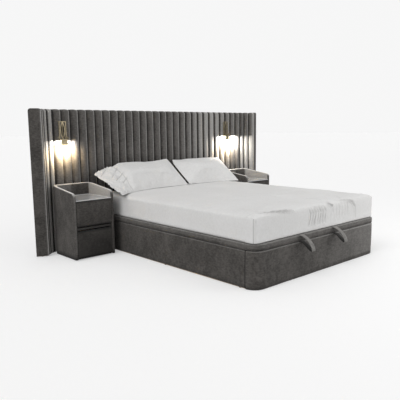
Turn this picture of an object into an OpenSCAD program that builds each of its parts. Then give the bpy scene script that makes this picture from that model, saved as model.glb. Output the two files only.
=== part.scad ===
// Bed with a winged, channelled headboard and two nightstands fixed to it.
// Millimetres, +Z up. The foot end looks along -Y and the headboard closes the +Y end.
// The origin is on the floor, under the centre of the whole bed.

/* [Mattress] */
// Width of the mattress
mattress_w = 1600; // [1400:10:1800]
// Length of the mattress
mattress_l = 2000; // [1900:10:2100]
// Height of the mattress at its crown
mattress_h = 215; // [160:5:260]
// How much lower the mattress is at its rounded edge
mattress_crown = 20; // [5:1:40]
// Plan radius of the mattress corners
mattress_corner_r = 70; // [40:5:120]

/* [Base] */
// Margin between the mattress and the outer face of the base, at the sides
side_margin = 20; // [10:1:40]
// Margin between the mattress and the outer face of the base, at foot and head
end_margin = 25; // [10:1:40]
// Height of the upholstered base
base_h = 284; // [220:2:320]
// Outer radius of the foot corners
base_corner_r = 100; // [60:5:140]
// Thickness of the padded cover
cover_t = 8; // [4:1:12]
// Thickness of the rails and panels
rail_t = 25; // [18:1:32]
// Thickness of the storage floor
floor_t = 10; // [6:1:18]
// Height of the floor glides
glide_h = 5; // [3:1:12]
// Radius of a floor glide
glide_r = 12; // [8:1:12]
// Gap under the side covers
side_cover_lift = 8; // [6:1:20]
// Gap under the foot cover
foot_cover_lift = 3; // [2:1:20]

/* [Lid] */
// Gap between the base and the lid
lid_gap = 3; // [2.8:0.1:6]
// Thickness of the lid
lid_t = 44; // [36:1:60]
// Thickness of the padded rim of the lid
lid_rim_t = 10; // [6:1:14]
// Thickness of the lid board
lid_board_t = 18; // [12:1:21]
// Width of a batten under the lid
batten_w = 40; // [30:1:50]
// Number of battens under the lid
batten_count = 7; // [5:1:9]
// Width of a pull strap
strap_w = 47; // [30:1:60]
// Thickness of a pull strap
strap_t = 2.4; // [1.6:0.1:2.4]
// How far a strap bows out from the foot end
strap_reach = 115; // [90:1:130]
// How far a strap hangs below the top of the lid
strap_drop = 106; // [90:1:120]
// Place of the left strap across the bed
strap_left_x = -297; // [-500:1:-100]
// Place of the right strap across the bed
strap_right_x = 144; // [100:1:500]

/* [Lift] */
// Distance of the rear arm's pivot from the head end of the base
rear_pivot_back = 860; // [820:1:880]
// Height of the rear arm's pivot
rear_pivot_z = 100; // [95:0.5:105]
// Length of the rear arm between its pivots
rear_arm_l = 440; // [430:1:445]
// Slope of the rear arm at rest
rear_arm_slope = 12; // [11:0.5:13]
// Distance of the front arm's pivot from the head end of the base
front_pivot_back = 1187.7; // [1180:0.1:1200]
// Height of the front arm's pivot
front_pivot_z = 93.7; // [90:0.1:98]
// Distance between the two pivots on the lid
lid_pivot_pitch = 120; // [115:1:130]
// Thickness of an arm
arm_t = 6; // [4:0.5:6]
// Width of an arm
arm_w = 28; // [24:1:28]
// Radius of a pivot stud
stud_r = 5; // [4:0.5:6]
// Thickness of the steel bracket plates
plate_t = 4; // [3:0.5:5]
// Thickness of the lid bracket plates
lid_plate_t = 6; // [4:0.5:6]
// Distance of the strut's base pivot from the head end of the base
strut_pivot_back = 550; // [545:1:555]
// Height of the strut's base pivot
strut_pivot_z = 80; // [78:0.5:82]
// Length of the lug that the strut pushes
lug_l = 120; // [118:1:122]
// Angle of the lug at rest, from the horizontal
lug_angle = 80; // [78:1:82]
// Radius of the strut's cylinder
strut_r = 10; // [8:0.5:10]
// Radius of the strut's rod
rod_r = 4; // [3:0.5:5]
// Length of the strut's cylinder from its pivot
cylinder_l = 200; // [195:1:215]
// How far the rod reaches into the cylinder
rod_overlap = 100; // [96:1:105]

/* [Headboard] */
// Height of the headboard
headboard_h = 1322; // [1100:5:1500]
// Thickness of the headboard behind its seams
headboard_t = 100; // [80:2:140]
// Distance between the seams of the headboard and the head end of the base
headboard_gap = 50; // [44:1:80]
// Width of a channel
channel_w = 88; // [80:1:92]
// How far a channel stands proud of its seams
channel_proud = 20; // [10:1:26]
// Thickness of the padding at a seam
seam_pad = 8; // [5:1:14]
// Depth of the padding over the top of the core
top_pad = 36; // [36:1:60]
// Rounding of the top edges
top_round = 24; // [12:1:26]
// How far a nightstand may reach past the flat part of the headboard
wing_reach = 62; // [60:1:62]
// Channels on each curved wing
wing_channels = 3; // [2:1:3]
// Width of a wing's channels, at their seams
wing_channel_w = 64; // [60:1:70]
// Plan radius of a wing, at its seams
wing_r = 170; // [165:5:200]
// Thickness of the back cover
back_cover_t = 8; // [4:1:12]
// Thickness of the front board of the core
core_board_t = 18; // [12:1:24]
// Width of a stud of the core
core_stud = 45; // [30:1:60]
// Number of bays in the flat core
core_bays = 8; // [6:1:10]
// Thickness of the padded end of a wing
end_pad_t = 10; // [6:1:16]

/* [Nightstands] */
// Width of a nightstand
stand_w = 400; // [380:5:410]
// Depth of a nightstand
stand_d = 403; // [380:1:440]
// Gap between the base and a nightstand
stand_gap = 74; // [60:1:80]
// Gap between a nightstand and the headboard's channels
stand_back_gap = 22; // [20:1:40]
// Height of the shell at its back
shell_back_h = 640; // [600:2:700]
// Height of the shell at its front
shell_front_h = 589; // [570:1:620]
// Thickness of the shell
shell_t = 25; // [18:1:30]
// Plan radius of the shell's back corners
shell_corner_r = 55; // [40:1:70]
// Radius of the shell's front top corners
shell_front_r = 35; // [15:1:40]
// Height of the tray
tray_top = 530; // [515:1:545]
// Thickness of the tray
tray_t = 8; // [5:1:12]
// Depth of the tray's recess
tray_recess = 3; // [1:0.5:4]
// Width of the tray's raised edge
tray_edge = 10; // [6:1:20]
// Thickness of the carcass
carcass_t = 15; // [12:1:18]
// Thickness of a drawer front
front_t = 20; // [14:1:24]
// Clearance around a drawer front
front_gap = 2; // [1:0.5:4]
// Lower edge of the upper drawer front
upper_front_z = 295; // [290:1:305]
// Upper edge of the lower drawer front
lower_front_z = 256; // [245:1:260]
// Lower edge of the lower drawer front
plinth_z = 14; // [10:1:30]
// Setback of the grip rail between the fronts
grip_setback = 14; // [10:1:18]
// Gap above and below the grip rail
grip_gap = 10; // [6:0.5:12]
// Height of the upper drawer box
upper_box_h = 150; // [100:5:165]
// Height of the lower drawer box
lower_box_h = 175; // [120:5:190]
// Wall thickness of a drawer box
box_wall = 12; // [8:1:15]
// Thickness of a drawer's bottom
box_floor = 6; // [4:1:10]
// Thickness of a drawer runner
runner_t = 12; // [10:0.5:14]
// Height of a drawer runner
runner_h = 30; // [20:1:40]

/* [Lights] */
// Channels between the left light and the end of the flat part
lamp_left_in = 1; // [1:1:3]
// Channels between the right light and the end of the flat part
lamp_right_in = 3; // [1:1:4]
// Distance from the top of the headboard down to a light
lamp_drop = 111; // [50:1:150]
// Height of a light
lamp_h = 214; // [190:2:230]
// Width of a light
lamp_w = 72; // [60:1:80]
// Depth of a light's block
lamp_d = 34; // [26:1:40]
// Height of a light's block
lamp_block_h = 48; // [40:1:56]
// Gap between a light's plate and the channels
lamp_standoff = 5; // [4:0.5:10]
// Thickness of a light's plate and frame
lamp_plate_t = 4; // [3:0.5:5]
// Width of the frame's bars and loop
lamp_bar = 7; // [5:0.5:9]
// Radius of a dimmer knob
knob_r = 12; // [9:0.5:14]

/* [Pillows] */
// Length of the left pillow in its case
pillow_left_l = 940; // [800:5:945]
// Length of the right pillow in its case
pillow_right_l = 690; // [600:5:740]
// How far the pillows meet to the right of the middle of the bed
pillow_meet = 95; // [80:5:110]
// Gap between the two pillows
pillow_gap = 50; // [20:2:60]
// Thickness of a pillow
pillow_t = 150; // [120:5:170]
// Height of a leaning pillow's upper edge above the mattress
pillow_rise = 268; // [240:2:290]
// How far a pillow's lower edge lies in front of its upper one
pillow_depth = 250; // [220:2:300]
// How much further forward the outer end of the left pillow lies
pillow_left_forward = 190; // [100:5:220]
// How much further forward the outer end of the right pillow lies
pillow_right_forward = 110; // [60:5:160]
// How much the upper edge droops at the left pillow's open end
pillow_left_droop = 110; // [60:5:130]
// How much the upper edge droops at the right pillow's outer end
pillow_right_droop = 18; // [0:2:60]
// Distance of the pillows' upper edge from the headboard's seams
pillow_back = 72; // [70:1:110]

/* [Hidden] */
$fn = 48;
fit = 0.3;          // clearance between pieces that nearly touch
eps = 1;            // overshoot of a cut

base_w = mattress_w + 2 * side_margin;
base_l = mattress_l + 2 * end_margin;
rail_out = base_w / 2 - cover_t;
rail_in = rail_out - rail_t;
panel_in = cover_t + rail_t;
lid_bottom = base_h + lid_gap;
lid_top = lid_bottom + lid_t;
mattress_top = lid_top + mattress_h;

seam_y = base_l + headboard_gap;
crown_y = seam_y - channel_proud;
back_y = seam_y + headboard_t;
flat_channels = ceil((base_w / 2 + stand_gap + stand_w - wing_reach) / channel_w - 0.01);
flat_half = flat_channels * channel_w;
wing_cy = seam_y - wing_r;
wing_angle = wing_channels * wing_channel_w / wing_r * 180 / PI;
core_front = seam_pad;
core_back = headboard_t - back_cover_t;
core_top = headboard_h - top_pad;

stand_x = base_w / 2 + stand_gap + stand_w / 2;
stand_back = crown_y - stand_back_gap;
stand_front = stand_back - stand_d;
shell_in_w = stand_w - 2 * shell_t;
carcass_w = shell_in_w - 2 * fit;
carcass_back = stand_back - shell_t - fit;
carcass_front = stand_front + front_t + front_gap;
shell_in_r = shell_corner_r - shell_t;
bay_w = carcass_w - 2 * carcass_t;
top_board_z = tray_top - tray_t;
grip_rail_low = lower_front_z + grip_gap;
grip_rail_high = upper_front_z - grip_gap;
box_w = bay_w - 2 * (runner_t + fit);
box_room = 15;      // behind a closed drawer box
box_lift = 8;       // under a drawer box
box_back = carcass_back - carcass_t - box_room;
lower_box_z = glide_h + carcass_t + box_lift;
upper_box_z = grip_rail_high + box_lift;

rear_pivot = [base_l - rear_pivot_back, rear_pivot_z];
lid_pivot = rear_pivot + rear_arm_l * [cos(rear_arm_slope), sin(rear_arm_slope)];
front_pivot = [base_l - front_pivot_back, front_pivot_z];
front_lid_pivot = lid_pivot - [lid_pivot_pitch, 0];
strut_pivot = [base_l - strut_pivot_back, strut_pivot_z];
lug_end = rear_pivot + lug_l * [cos(lug_angle), sin(lug_angle)];
strut_l = norm(lug_end - strut_pivot);
strut_angle = atan2(lug_end[1] - strut_pivot[1], lug_end[0] - strut_pivot[0]);

// planes of the lift, measured across the bed from its middle
bracket_in = rail_in - plate_t;
plane_gap = 4;
front_arm_x = bracket_in - fit - arm_t;
rear_arm_x = front_arm_x - plane_gap - arm_t;
lid_plate_x = rear_arm_x - plane_gap - lid_plate_t;
eye_t = 10;
strut_x = lid_plate_x - plane_gap - strut_r;
batten_edge = lid_plate_x;

lamp_z = headboard_h - lamp_drop - lamp_h;
lamp_back = crown_y - lamp_standoff;
lamp_face = lamp_back - lamp_d;
lamp_block_w = lamp_w - 8;
lamp_knob_x = lamp_w / 2 - lamp_bar;
knob_rise = 5;      // above the block
lamp_knob_z = lamp_z + lamp_block_h + knob_r + knob_rise;

front_y = -strap_reach;
frame_y = -(front_y + back_y) / 2;
sides = [-1, 1];

velvet = [0.28, 0.27, 0.27];
timber = [0.72, 0.58, 0.42];
steel = [0.45, 0.46, 0.48];
linen = [0.90, 0.90, 0.89];
brass = [0.56, 0.48, 0.33];

// Everything is laid out from the foot end and then moved so that the origin is under the middle.
module placed() translate([0, frame_y, 0]) children();

// The shape for the right side, mirrored for the left one.
module on_side(side) mirror([side < 0 ? 1 : 0, 0, 0]) children();

// Stands a drawing of (y, z) up across the bed, from x to x + t.
module across(x, t) translate([x, 0, 0]) rotate([90, 0, 90]) linear_extrude(t) children();

// A round bar along X, from x0 to x1, at a (y, z) point.
module bar_x(p, r, x0, x1) translate([x0, p[0], p[1]]) rotate([0, 90, 0]) cylinder(h = x1 - x0, r = r);

module rounded_rect(w, l, r) {
    translate([-w / 2 + r, -l / 2]) square([w - 2 * r, l]);
    translate([-w / 2, -l / 2 + r]) square([w, l - 2 * r]);
    for (sx = sides, sy = sides)
        translate([sx * (w / 2 - r), sy * (l / 2 - r)]) circle(r = r);
}

// A rectangle whose two corners on the lower side are round.
module foot_rounded(w, front, back, r) {
    translate([-w / 2 + r, front]) square([w - 2 * r, back - front]);
    translate([-w / 2, front + r]) square([w, back - front - r]);
    for (s = sides)
        translate([s * (w / 2 - r), front + r]) circle(r = r);
}

module back_rounded(w, front, back, r) mirror([0, 1]) foot_rounded(w, -back, -front, r);

module base_plan(inset) foot_rounded(base_w - 2 * inset, inset, base_l - inset, base_corner_r - inset);

// A closed skin over rings of points; every ring has the same number of points.
function ring_faces(rings, n) = concat(
    [for (k = [0 : rings - 2], i = [0 : n - 1]) [k * n + i, k * n + (i + 1) % n, (k + 1) * n + i]],
    [for (k = [0 : rings - 2], i = [0 : n - 1])
        [k * n + (i + 1) % n, (k + 1) * n + (i + 1) % n, (k + 1) * n + i]],
    [for (i = [1 : n - 2]) [0, i + 1, i]],
    [for (last = (rings - 1) * n, i = [1 : n - 2]) [last, last + i, last + i + 1]]
);
module ringed(rings)
    polyhedron(points = [for (r = rings, p = r) p], faces = ring_faces(len(rings), len(rings[0])));

// ---- headboard ----

// How far the padding stands out at a place along the seams, counted in channels.
function crown_at(place) = let (u = place - floor(place + 0.0001))
    channel_proud * pow(max(0, 1 - pow(abs(2 * u - 1), 2)), 0.6);
function pad_top(out) = headboard_h - 0.3 * (channel_proud - out);
// The section of the padding, as [distance in front of the seams, height], from its inner corner.
function pad_section(out, low) = let (top = pad_top(out), q = top_round * (1 - cos(45))) [
    [fit - core_front, core_top + fit],
    [fit - core_front, low],
    [out, low],
    [out, top - top_round],
    [out - q, top - q],
    [out - top_round, top],
    [top_round - headboard_t, top],
    [q - headboard_t, top - q],
    [-headboard_t, top - top_round],
    [-headboard_t, core_top + fit]
];
channel_steps = 4;

module channels_flat() {
    count = 2 * flat_channels * channel_steps;
    ringed([for (i = [0 : count])
        let (s = -flat_half + i * channel_w / channel_steps)
            [for (p = pad_section(crown_at(i / channel_steps), side_cover_lift)) [s, seam_y - p[0], p[1]]]]);
}

module channels_wing() {
    count = wing_channels * channel_steps;
    ringed([for (i = [0 : count])
        let (a = i / count * wing_angle)
            [for (p = pad_section(crown_at(i / channel_steps), side_cover_lift))
                [flat_half + (wing_r - p[0]) * sin(a), wing_cy + (wing_r - p[0]) * cos(a), p[1]]]]);
}

// A part of the wing's arc, between two depths behind the seams, two angles and two heights.
module wing_arc(d0, d1, a0, a1, z0, z1)
    translate([flat_half, wing_cy, 0]) rotate([0, 0, 90 - a1]) rotate_extrude(angle = a1 - a0)
        translate([wing_r + d0, z0]) square([d1 - d0, z1 - z0]);

module headboard_core() color(timber) placed() difference() {
    translate([-flat_half, seam_y + core_front, glide_h])
        cube([2 * flat_half, core_back - core_front, core_top - glide_h]);
    bay = (2 * flat_half - (core_bays + 1) * core_stud) / core_bays;
    tall = (core_top - glide_h - 3 * core_stud) / 2;
    for (i = [0 : core_bays - 1], k = [0, 1])
        translate([-flat_half + core_stud + i * (bay + core_stud), seam_y + core_front + core_board_t,
            glide_h + core_stud + k * (tall + core_stud)])
            cube([bay, headboard_t, tall]);
}

module wing_core(side) color(timber) placed() on_side(side) difference() {
    wing_arc(core_front, core_back, 0, wing_angle, glide_h, core_top);
    rib = core_stud / wing_r * 180 / PI;
    tall = (core_top - glide_h - 3 * core_stud) / 2;
    bay = (wing_angle - 3 * rib) / 2;
    for (i = [0, 1], k = [0, 1])
        wing_arc(core_front + core_board_t, headboard_t, rib + i * (bay + rib), (i + 1) * (bay + rib),
            glide_h + core_stud + k * (tall + core_stud), glide_h + (k + 1) * (tall + core_stud));
}

module headboard_channels() color(velvet) placed() channels_flat();

module wing_channels(side) color(velvet) placed() on_side(side) channels_wing();

// Flat padded end of a wing, with the same rounded top as the channels.
module end_pad(side) color(velvet) placed() on_side(side)
    translate([flat_half, wing_cy, 0]) rotate([0, 0, -wing_angle]) translate([0, wing_r, 0])
        rotate([90, 0, 90]) linear_extrude(end_pad_t) {
            translate([-channel_proud / 2, side_cover_lift])
                square([headboard_t + channel_proud / 2, headboard_h - top_round - side_cover_lift]);
            translate([top_round - channel_proud / 2, side_cover_lift])
                square([headboard_t + channel_proud / 2 - 2 * top_round, headboard_h - side_cover_lift]);
            for (y = [top_round - channel_proud / 2, headboard_t - top_round])
                translate([y, headboard_h - top_round]) circle(r = top_round);
        }

module headboard_back_cover() color(velvet) placed() {
    translate([-flat_half, seam_y + core_back, glide_h])
        cube([2 * flat_half, back_cover_t, core_top - glide_h]);
    for (side = sides)
        on_side(side) wing_arc(core_back, headboard_t, 0, wing_angle, glide_h, core_top);
}

// Bolts and spacers that hold the base and the nightstands to the headboard, and corner brackets.
spacer_r = 20;
stand_spacer_r = 15;
bolt_r = 4;
bolt_hole_r = 4.5;
bolt_head_r = 9;
bolt_head_t = 6;
bolt_xs = [-6.5 * channel_w, -2.5 * channel_w, 2.5 * channel_w, 6.5 * channel_w];
bolt_z = base_h / 2;
bracket_leg = 60;
bracket_z = base_h / 2 - bracket_leg;
module bar_y(x, z, r, y0, y1) translate([x, y1, z]) rotate([90, 0, 0]) cylinder(h = y1 - y0, r = r);
module joining_hardware() color(steel) placed() {
    for (x = bolt_xs) {
        bar_y(x, bolt_z, spacer_r, base_l, crown_y - fit);
        bar_y(x, bolt_z, bolt_r, base_l - rail_t - bolt_head_t, base_l);
        bar_y(x, bolt_z, bolt_head_r, base_l - rail_t - bolt_head_t, base_l - rail_t);
    }
    for (side = sides) on_side(side) {
        for (crown = [-0.5, 0.5])
            bar_y((floor(stand_x / channel_w) + crown) * channel_w, bolt_z, stand_spacer_r, stand_back,
                crown_y - fit);
        // head corners: a steel angle inside the box
        translate([rail_in - plate_t, base_l - rail_t - bracket_leg, bracket_z])
            cube([plate_t, bracket_leg, 2 * bracket_leg]);
        translate([rail_in - bracket_leg, base_l - rail_t - plate_t, bracket_z])
            cube([bracket_leg, plate_t, 2 * bracket_leg]);
        // side rail to foot panel: a flat plate over the joint
        translate([rail_in - plate_t - fit, base_corner_r - 5, bracket_z])
            cube([plate_t, bracket_leg, 2 * bracket_leg]);
    }
}

glide_end = 60;     // from the end of a rail or panel to the middle of its last glide
stand_glide_end = 40;
module glide_at(x, y) translate([x, y, 0]) cylinder(h = glide_h, r = glide_r);
module floor_glides() color(steel) placed() for (side = sides) {
    for (y = [base_corner_r + glide_end, base_l / 2, base_l - glide_end])
        glide_at(side * (rail_out + rail_in) / 2, y);
    for (x = [flat_half / 3, flat_half - glide_end])
        glide_at(side * x, seam_y + headboard_t / 2);
    wing_mid = wing_r + headboard_t / 2;
    wing_turn = wing_angle - core_stud / 2 / wing_mid * 180 / PI;
    glide_at(side * (flat_half + wing_mid * sin(wing_turn)), wing_cy + wing_mid * cos(wing_turn));
    for (dx = sides, y = [carcass_front + stand_glide_end, carcass_back - glide_end])
        glide_at(side * stand_x + dx * (carcass_w / 2 - stand_glide_end), y);
    glide_at(side * base_w / 4, cover_t + rail_t / 2);
}

// ---- base ----

module side_rail(side) color(timber) placed() on_side(side)
    translate([rail_in, base_corner_r, glide_h])
        cube([rail_t, base_l - base_corner_r, base_h - cover_t - glide_h]);

// The region in front of the seams between the foot cover and the side covers.
module foot_zone() translate([-base_w, -eps]) square([2 * base_w, base_corner_r + eps]);

module foot_panel() color(timber) placed() translate([0, 0, glide_h])
    linear_extrude(base_h - cover_t - glide_h) intersection() {
        difference() {
            base_plan(cover_t);
            base_plan(panel_in);
        }
        foot_zone();
    }

module head_panel() color(timber) placed() difference() {
    translate([-rail_in, base_l - rail_t, glide_h]) cube([2 * rail_in, rail_t, base_h - glide_h]);
    for (x = bolt_xs)
        bar_y(x, bolt_z, bolt_hole_r, base_l - rail_t - eps, base_l + eps);
}

module side_cover(side) color(velvet) placed() on_side(side) {
    translate([rail_out, base_corner_r, side_cover_lift])
        cube([cover_t, base_l - base_corner_r, base_h - side_cover_lift]);
    translate([rail_in, base_corner_r, base_h - cover_t])
        cube([rail_t, base_l - base_corner_r, cover_t]);
}

module foot_cover() color(velvet) placed() {
    translate([0, 0, foot_cover_lift]) linear_extrude(base_h - foot_cover_lift) intersection() {
        difference() {
            base_plan(0);
            base_plan(cover_t);
        }
        foot_zone();
    }
    translate([0, 0, base_h - cover_t]) linear_extrude(cover_t) intersection() {
        difference() {
            base_plan(cover_t);
            base_plan(panel_in);
        }
        foot_zone();
    }
}

floor_lift = 7;     // above the lower edge of the rails
floor_z = glide_h + floor_lift;
floor_top = floor_z + floor_t;
module storage_floor() color(timber) placed() translate([0, 0, floor_z])
    linear_extrude(floor_t) intersection() {
        base_plan(panel_in + fit);
        translate([-base_w, 0]) square([2 * base_w, base_l - rail_t - fit]);
    }

// ---- lid ----

batten_low = lid_bottom + 2;
batten_inset = 40;
module lid_battens() color(timber) placed() {
    pitch = (2 * batten_edge - batten_w) / (batten_count - 1);
    for (i = [0 : batten_count - 1])
        translate([-batten_edge + i * pitch, batten_inset, batten_low])
            cube([batten_w, base_l - 2 * batten_inset, lid_top - lid_board_t - batten_low]);
}

module lid_board() color(timber) placed() translate([0, 0, lid_top - lid_board_t])
    linear_extrude(lid_board_t) base_plan(lid_rim_t);

lip_t = 4;
lip_w = 26;
module lid_cover() color(velvet) placed() translate([0, 0, lid_bottom]) {
    linear_extrude(lid_t) difference() {
        base_plan(0);
        base_plan(lid_rim_t);
    }
    linear_extrude(lip_t) difference() {
        base_plan(lid_rim_t);
        base_plan(lip_w);
    }
}

// A strap is one band: stitched on top of the lid's edge, out in a loop, and back under the lid.
function bezier(a, b, c, d, t) = pow(1 - t, 3) * a + 3 * pow(1 - t, 2) * t * b
    + 3 * (1 - t) * t * t * c + t * t * t * d;
strap_steps = 10;
strap_hem = end_margin - 2;
strap_clear = 0.2;  // between the strap and the lid
strap_up = [0, lid_top + strap_t / 2 + strap_clear];
strap_under = [0, lid_bottom - strap_t / 2 - strap_clear];
strap_tip = [-strap_reach + strap_t / 2, lid_top - strap_drop + 14];
strap_fold = [-strap_reach + 13, lid_top - strap_drop + strap_t / 2];
strap_line = concat(
    [strap_up + [strap_hem, 0]],
    [for (i = [0 : strap_steps])
        bezier(strap_up, strap_up + [-46, 0], strap_tip + [4, 42], strap_tip, i / strap_steps)],
    [for (i = [1 : strap_steps / 2])
        bezier(strap_tip, strap_tip + [0, -8], strap_fold + [-7, 0], strap_fold, 2 * i / strap_steps)],
    [for (i = [1 : strap_steps])
        bezier(strap_fold, strap_fold + [24, 0], strap_under + [-46, -4], strap_under, i / strap_steps)],
    [strap_under + [strap_hem, 0]]
);
function turned(v) = [-v[1], v[0]] / norm(v);
function side_of(line, i) = turned(line[min(i + 1, len(line) - 1)] - line[max(i - 1, 0)]);
module pull_strap(x) color(velvet) placed() across(x - strap_w / 2, strap_w) {
    n = len(strap_line) - 1;
    polygon(concat(
        [for (i = [0 : n]) strap_line[i] + strap_t / 2 * side_of(strap_line, i)],
        [for (i = [n : -1 : 0]) strap_line[i] - strap_t / 2 * side_of(strap_line, i)]));
}

// ---- lift ----

eye_r = arm_w / 2;
bore_r = stud_r + 0.3;
boss_r = stud_r + 3;
head_t = 2;
bracket_edge = 30;
module arm_outline(p, q) {
    run = norm(q - p);
    translate(p) rotate(atan2(q[1] - p[1], q[0] - p[0])) {
        translate([0, -arm_w / 2]) square([run, arm_w]);
        circle(r = eye_r);
        translate([run, 0]) circle(r = eye_r);
    }
}

// Steel plate on the rail, with a stud for each arm and for the strut.
module lift_bracket(side) color(steel) placed() on_side(side) {
    translate([bracket_in, front_pivot[0] - bracket_edge, strut_pivot_z - bracket_edge])
        cube([plate_t, strut_pivot[0] - front_pivot[0] + 2 * bracket_edge,
            rear_pivot_z - strut_pivot_z + 2 * bracket_edge]);
    bar_x(front_pivot, stud_r, front_arm_x - fit, bracket_in);
    bar_x(front_pivot, boss_r, front_arm_x - fit - head_t, front_arm_x - fit);
    bar_x(rear_pivot, boss_r, rear_arm_x + arm_t + fit, bracket_in);
    bar_x(rear_pivot, stud_r, rear_arm_x - fit, bracket_in);
    bar_x(rear_pivot, boss_r, rear_arm_x - fit - head_t, rear_arm_x - fit);
    bar_x(strut_pivot, boss_r, strut_x + eye_t / 2 + fit, bracket_in);
    bar_x(strut_pivot, stud_r, strut_x - eye_t / 2 - fit, bracket_in);
    bar_x(strut_pivot, boss_r, strut_x - eye_t / 2 - fit - head_t, strut_x - eye_t / 2 - fit);
}

module rear_arm(side) color(steel) placed() on_side(side) difference() {
    union() {
        across(rear_arm_x, arm_t) {
            arm_outline(rear_pivot, lid_pivot);
            arm_outline(rear_pivot, lug_end);
        }
        bar_x(lug_end, boss_r, strut_x + eye_t / 2 + fit, rear_arm_x + eps);
    }
    for (p = [rear_pivot, lid_pivot])
        bar_x(p, bore_r, rear_arm_x - eps, rear_arm_x + arm_t + eps);
}

module front_arm(side) color(steel) placed() on_side(side) difference() {
    across(front_arm_x, arm_t) arm_outline(front_pivot, front_lid_pivot);
    for (p = [front_pivot, front_lid_pivot])
        bar_x(p, bore_r, front_arm_x - eps, front_arm_x + arm_t + eps);
}

// Plates that hang from the outer battens of the lid and carry the arms.
module lid_bracket_outline() {
    for (p = [lid_pivot, front_lid_pivot])
        translate(p) circle(r = eye_r);
    translate([front_lid_pivot[0] - eye_r, front_lid_pivot[1]])
        square([lid_pivot_pitch + 2 * eye_r, lid_top - lid_board_t - front_lid_pivot[1]]);
    translate([front_lid_pivot[0], front_lid_pivot[1] - eye_r]) square([lid_pivot_pitch, arm_w]);
}
module lid_brackets() color(steel) placed() for (side = sides) on_side(side) {
    across(lid_plate_x, lid_plate_t) lid_bracket_outline();
    bar_x(lid_pivot, boss_r, lid_plate_x + lid_plate_t, rear_arm_x - fit);
    bar_x(lid_pivot, stud_r, lid_plate_x + lid_plate_t, rear_arm_x + arm_t + fit);
    bar_x(lid_pivot, boss_r, rear_arm_x + arm_t + fit, rear_arm_x + arm_t + fit + head_t);
    bar_x(front_lid_pivot, boss_r, lid_plate_x + lid_plate_t, front_arm_x - fit);
}

// Lays a shape made along +X onto the strut's line, starting at the strut's base pivot.
module along_strut() translate([strut_x, strut_pivot[0], strut_pivot[1]])
    rotate([strut_angle, 0, 0]) rotate([0, 0, 90]) children();

strut_eye_r = eye_r - 2;
tube_start = strut_eye_r - 2;
rod_start = cylinder_l - rod_overlap;
module strut_eye(x) difference() {
    translate([x, -eye_t / 2, 0]) rotate([-90, 0, 0]) cylinder(h = eye_t, r = strut_eye_r);
    translate([x, -eye_t / 2 - eps, 0]) rotate([-90, 0, 0]) cylinder(h = eye_t + 2 * eps, r = bore_r);
}

module gas_cylinder(side) color([0.16, 0.16, 0.17]) placed() on_side(side) along_strut() {
    strut_eye(0);
    difference() {
        translate([tube_start, 0, 0]) rotate([0, 90, 0]) cylinder(h = cylinder_l - tube_start, r = strut_r);
        translate([rod_start - 10, 0, 0]) rotate([0, 90, 0]) cylinder(h = cylinder_l, r = rod_r + fit);
    }
}

module gas_rod(side) color(steel) placed() on_side(side) along_strut() {
    strut_eye(strut_l);
    translate([rod_start, 0, 0]) rotate([0, 90, 0]) cylinder(h = strut_l - tube_start - rod_start, r = rod_r);
}

// ---- mattress and pillows ----

corner_steps = 6;
// One ring of a rounded rectangle, counter-clockwise from above.
function plan_ring(w, front, back, r, z) = [for (c = [0 : 3], i = [0 : corner_steps])
    let (a = c * 90 + i * 90 / corner_steps,
        cx = (c == 0 || c == 3 ? 1 : -1) * (w / 2 - r),
        cy = c < 2 ? back - r : front + r)
        [cx + r * cos(a), cy + r * sin(a), z]];
function mattress_ring(inset, z) = plan_ring(mattress_w - 2 * inset, end_margin + inset,
    end_margin + mattress_l - inset, mattress_corner_r + inset * 0.6, z);
edge_z = mattress_top - mattress_crown;
// how far in from its sides the mattress is rounded, and how far in it is flat
mattress_round = 45;
mattress_flat = 110;
module mattress() color(linen) placed() ringed([
    mattress_ring(14, lid_top),
    mattress_ring(3, lid_top + 9),
    mattress_ring(1, lid_top + 30),
    mattress_ring(0, (lid_top + edge_z) / 2),
    mattress_ring(1, edge_z - 26),
    mattress_ring(6, edge_z - 9),
    mattress_ring(18, edge_z),
    mattress_ring(mattress_round, mattress_top - 0.35 * mattress_crown),
    mattress_ring(mattress_flat, mattress_top - 0.03 * mattress_crown),
    mattress_ring(2 * mattress_flat, mattress_top)
]);

// A leaning pillow: rings along its length, fullest in the middle and thin at its seamed ends. Its
// lower edge lies on the mattress, and its upper edge leans back to the headboard.
pillow_rest = mattress_top + fit;
pillow_upper_y = seam_y - pillow_back;
pillow_ring_points = 24;
function fullness(u) = pow(max(0.02, 1 - pow(abs(u), 2.6)), 0.42);
function rounded(v) = sign(v) * pow(abs(v), 0.85);
// along is -1 at the lower edge and 1 at the upper one.
function pillow_point(x, half_t, depth, rise, a) = let (
    along = rounded(cos(a)), off = half_t * rounded(sin(a)), slope = atan2(rise, depth))
    [x, pillow_upper_y - depth * (1 - along) / 2 - off * sin(slope),
        pillow_rest + max(0, rise * (1 + along) / 2 + off * cos(slope))];
pillow_rings = 16;
// end is 1 at the outer end of the pillow, which comes forward and droops, and 0 at the other.
module pillow(x0, x1, forward, droop) color(linen) placed() ringed([for (i = [0 : pillow_rings])
    let (u = sin(-90 + 180 * i / pillow_rings), end = pow((1 + sign(x0 + x1) * u) / 2, 3))
        [for (k = [0 : pillow_ring_points - 1])
            pillow_point((x0 + x1) / 2 + (x1 - x0) / 2 * u, pillow_t / 2 * fullness(u),
                pillow_depth + forward * end, pillow_rise - droop * end, -360 * k / pillow_ring_points)]]);

// ---- nightstands ----

module at_stand(side) placed() on_side(side) translate([stand_x, 0, 0]) children();

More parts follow.
